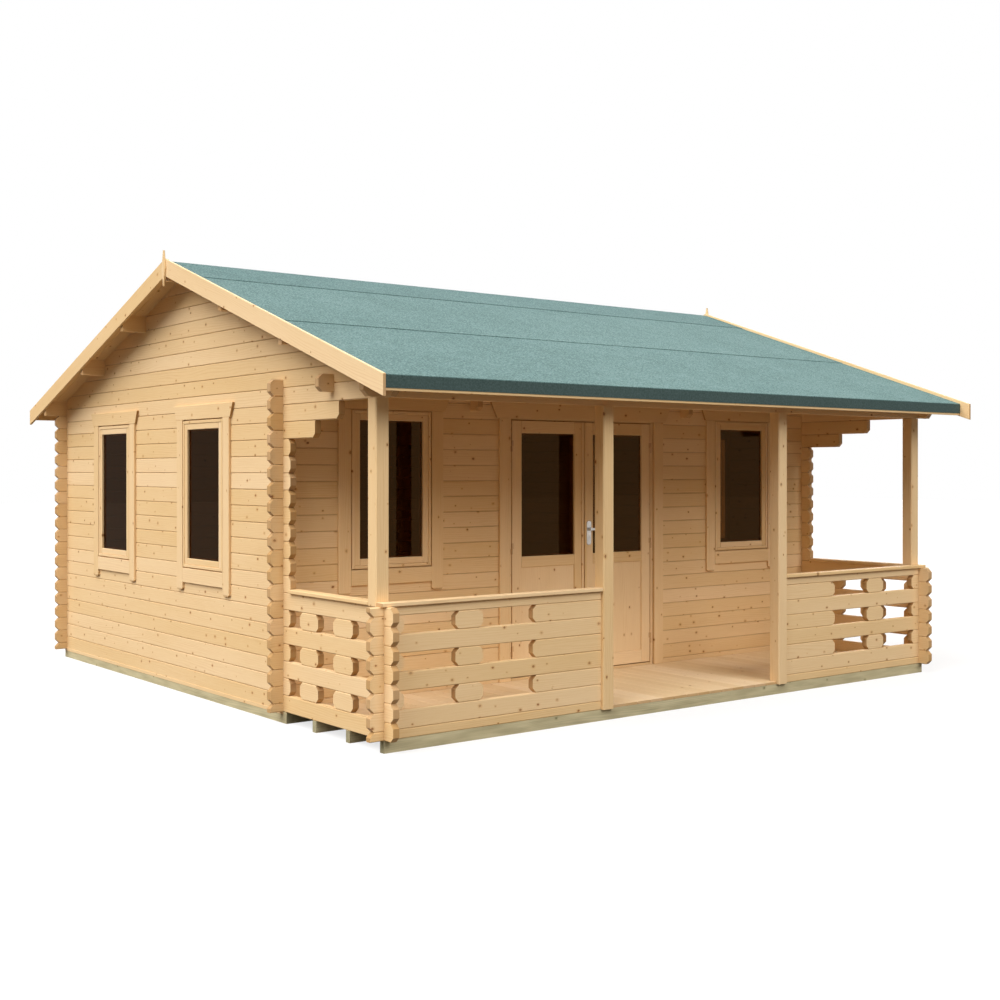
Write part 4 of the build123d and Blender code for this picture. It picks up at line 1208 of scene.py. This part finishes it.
@dataclass
class Studio:
    """Pale floor, soft light and the camera."""

    camera_at: Vec = (-7.029, -9.4325, 1.685)
    heading: float = -37.704
    lens: float = 48.42
    shift_y: float = -0.0288
    # Lamps: direction of each, strength and spread in degrees
    key: tuple[Vec, float, float] = ((-0.66, 0.05, 0.75), 3.92, 60.0)
    fill: tuple[Vec, float, float] = ((0.08, -0.75, 0.62), 1.85, 42.0)
    back: tuple[Vec, float, float] = ((0.62, 0.74, 0.26), 2.3, 40.0)
    sky: Vec = (0.20, 0.175, 0.145)
    floor_bounce: Vec = (0.09, 0.075, 0.058)
    floor_glow: float = 0.72
    floor_reach: float = 60.0
    sensor_w: float = 36.0
    sees_to: float = 200.0

    def camera(self) -> None:
        """Level camera with a low shift."""
        data = bpy.data.cameras.new("camera")
        data.sensor_width = self.sensor_w
        data.lens = self.lens
        data.shift_y = self.shift_y
        data.clip_end = self.sees_to
        seen = put("camera", data)
        seen.location = self.camera_at
        seen.rotation_euler = (math.radians(90), 0, math.radians(self.heading))
        bpy.context.scene.camera = seen

    def seen_share(self, node: Adder, share: float) -> Node:
        """Share where the camera, gloss or glass looks on, zero for other rays.

        Args:
            node: adds a node.
            share: the share.

        Returns:
            The node that gives it.
        """
        path = node("LightPath")
        first = node("Math", (path.outputs["Is Camera Ray"], path.outputs["Is Glossy Ray"]), "MAXIMUM")
        either = node("Math", (first, path.outputs["Is Transmission Ray"]), "MAXIMUM")
        return node("Math", (either, share), "MULTIPLY")

    def white_if_seen(self, node: Adder, tone: Vec) -> Node:
        """White where the camera, gloss or glass looks on, and the tone given for other rays."""
        seen = self.seen_share(node, 1.0)
        return node("Mix", {0: seen, 6: (*tone, 1.0), 7: linear("FFFFFF")}, "RGBA")

    def light(self) -> None:
        """Even sky that looks white, and three soft lamps: key, front fill and one behind."""
        world = bpy.data.worlds.new("studio")
        world.use_nodes = True
        world.node_tree.nodes.clear()
        node = partial(add, world.node_tree)
        glow = node("Background", {"Color": self.white_if_seen(node, self.sky), "Strength": 1.0})
        node("OutputWorld", {"Surface": glow})
        bpy.context.scene.world = world
        lamps = {"key": self.key, "fill": self.fill, "back": self.back}
        for name, ((x, y, z), energy, angle) in lamps.items():
            data = bpy.data.lights.new(name, "SUN")
            data.energy = energy
            data.angle = math.radians(angle)
            lamp = put(name, data)
            lamp.rotation_euler = (math.atan2(math.hypot(x, y), z), 0, math.atan2(y, x) + math.pi / 2)
            # The lamps' discs don't shine through two windows at once
            lamp.visible_transmission = False

    def floor(self) -> None:
        """Wide pale floor that keeps a faint shadow."""
        material, node = new_material("studio_floor")
        matt = node("BsdfDiffuse", {"Color": self.white_if_seen(node, self.floor_bounce)})
        glow = node("Emission", {"Color": linear("FFFFFF"), "Strength": 1.0})
        both = node("MixShader", (self.seen_share(node, self.floor_glow), matt, glow))
        node("OutputMaterial", {"Surface": both})
        mesh = bpy.data.meshes.new("floor")
        reach = self.floor_reach
        corners = [(x * reach, y * reach, 0) for x, y in ((-1, -1), (1, -1), (1, 1), (-1, 1))]
        mesh.from_pydata(corners, [], [(0, 1, 2, 3)])
        mesh.materials.append(material)
        floor = put("floor", mesh)

    def build(self) -> None:
        """Set the stage."""
        self.camera()
        self.light()
        self.floor()
        bpy.context.scene.view_settings.view_transform = "Standard"


def main() -> None:
    """Build every sub-assembly in order."""
    logging.basicConfig(level=logging.INFO, format="%(name)s: %(message)s")
    FINISHES.make()
    for assembly in (Studio(), Walls(), Floors(), Windows(), Door(), Roof()):
        assembly.build()
        LOG.info("%s is built", type(assembly).__name__)


if __name__ == "__main__":
    main()
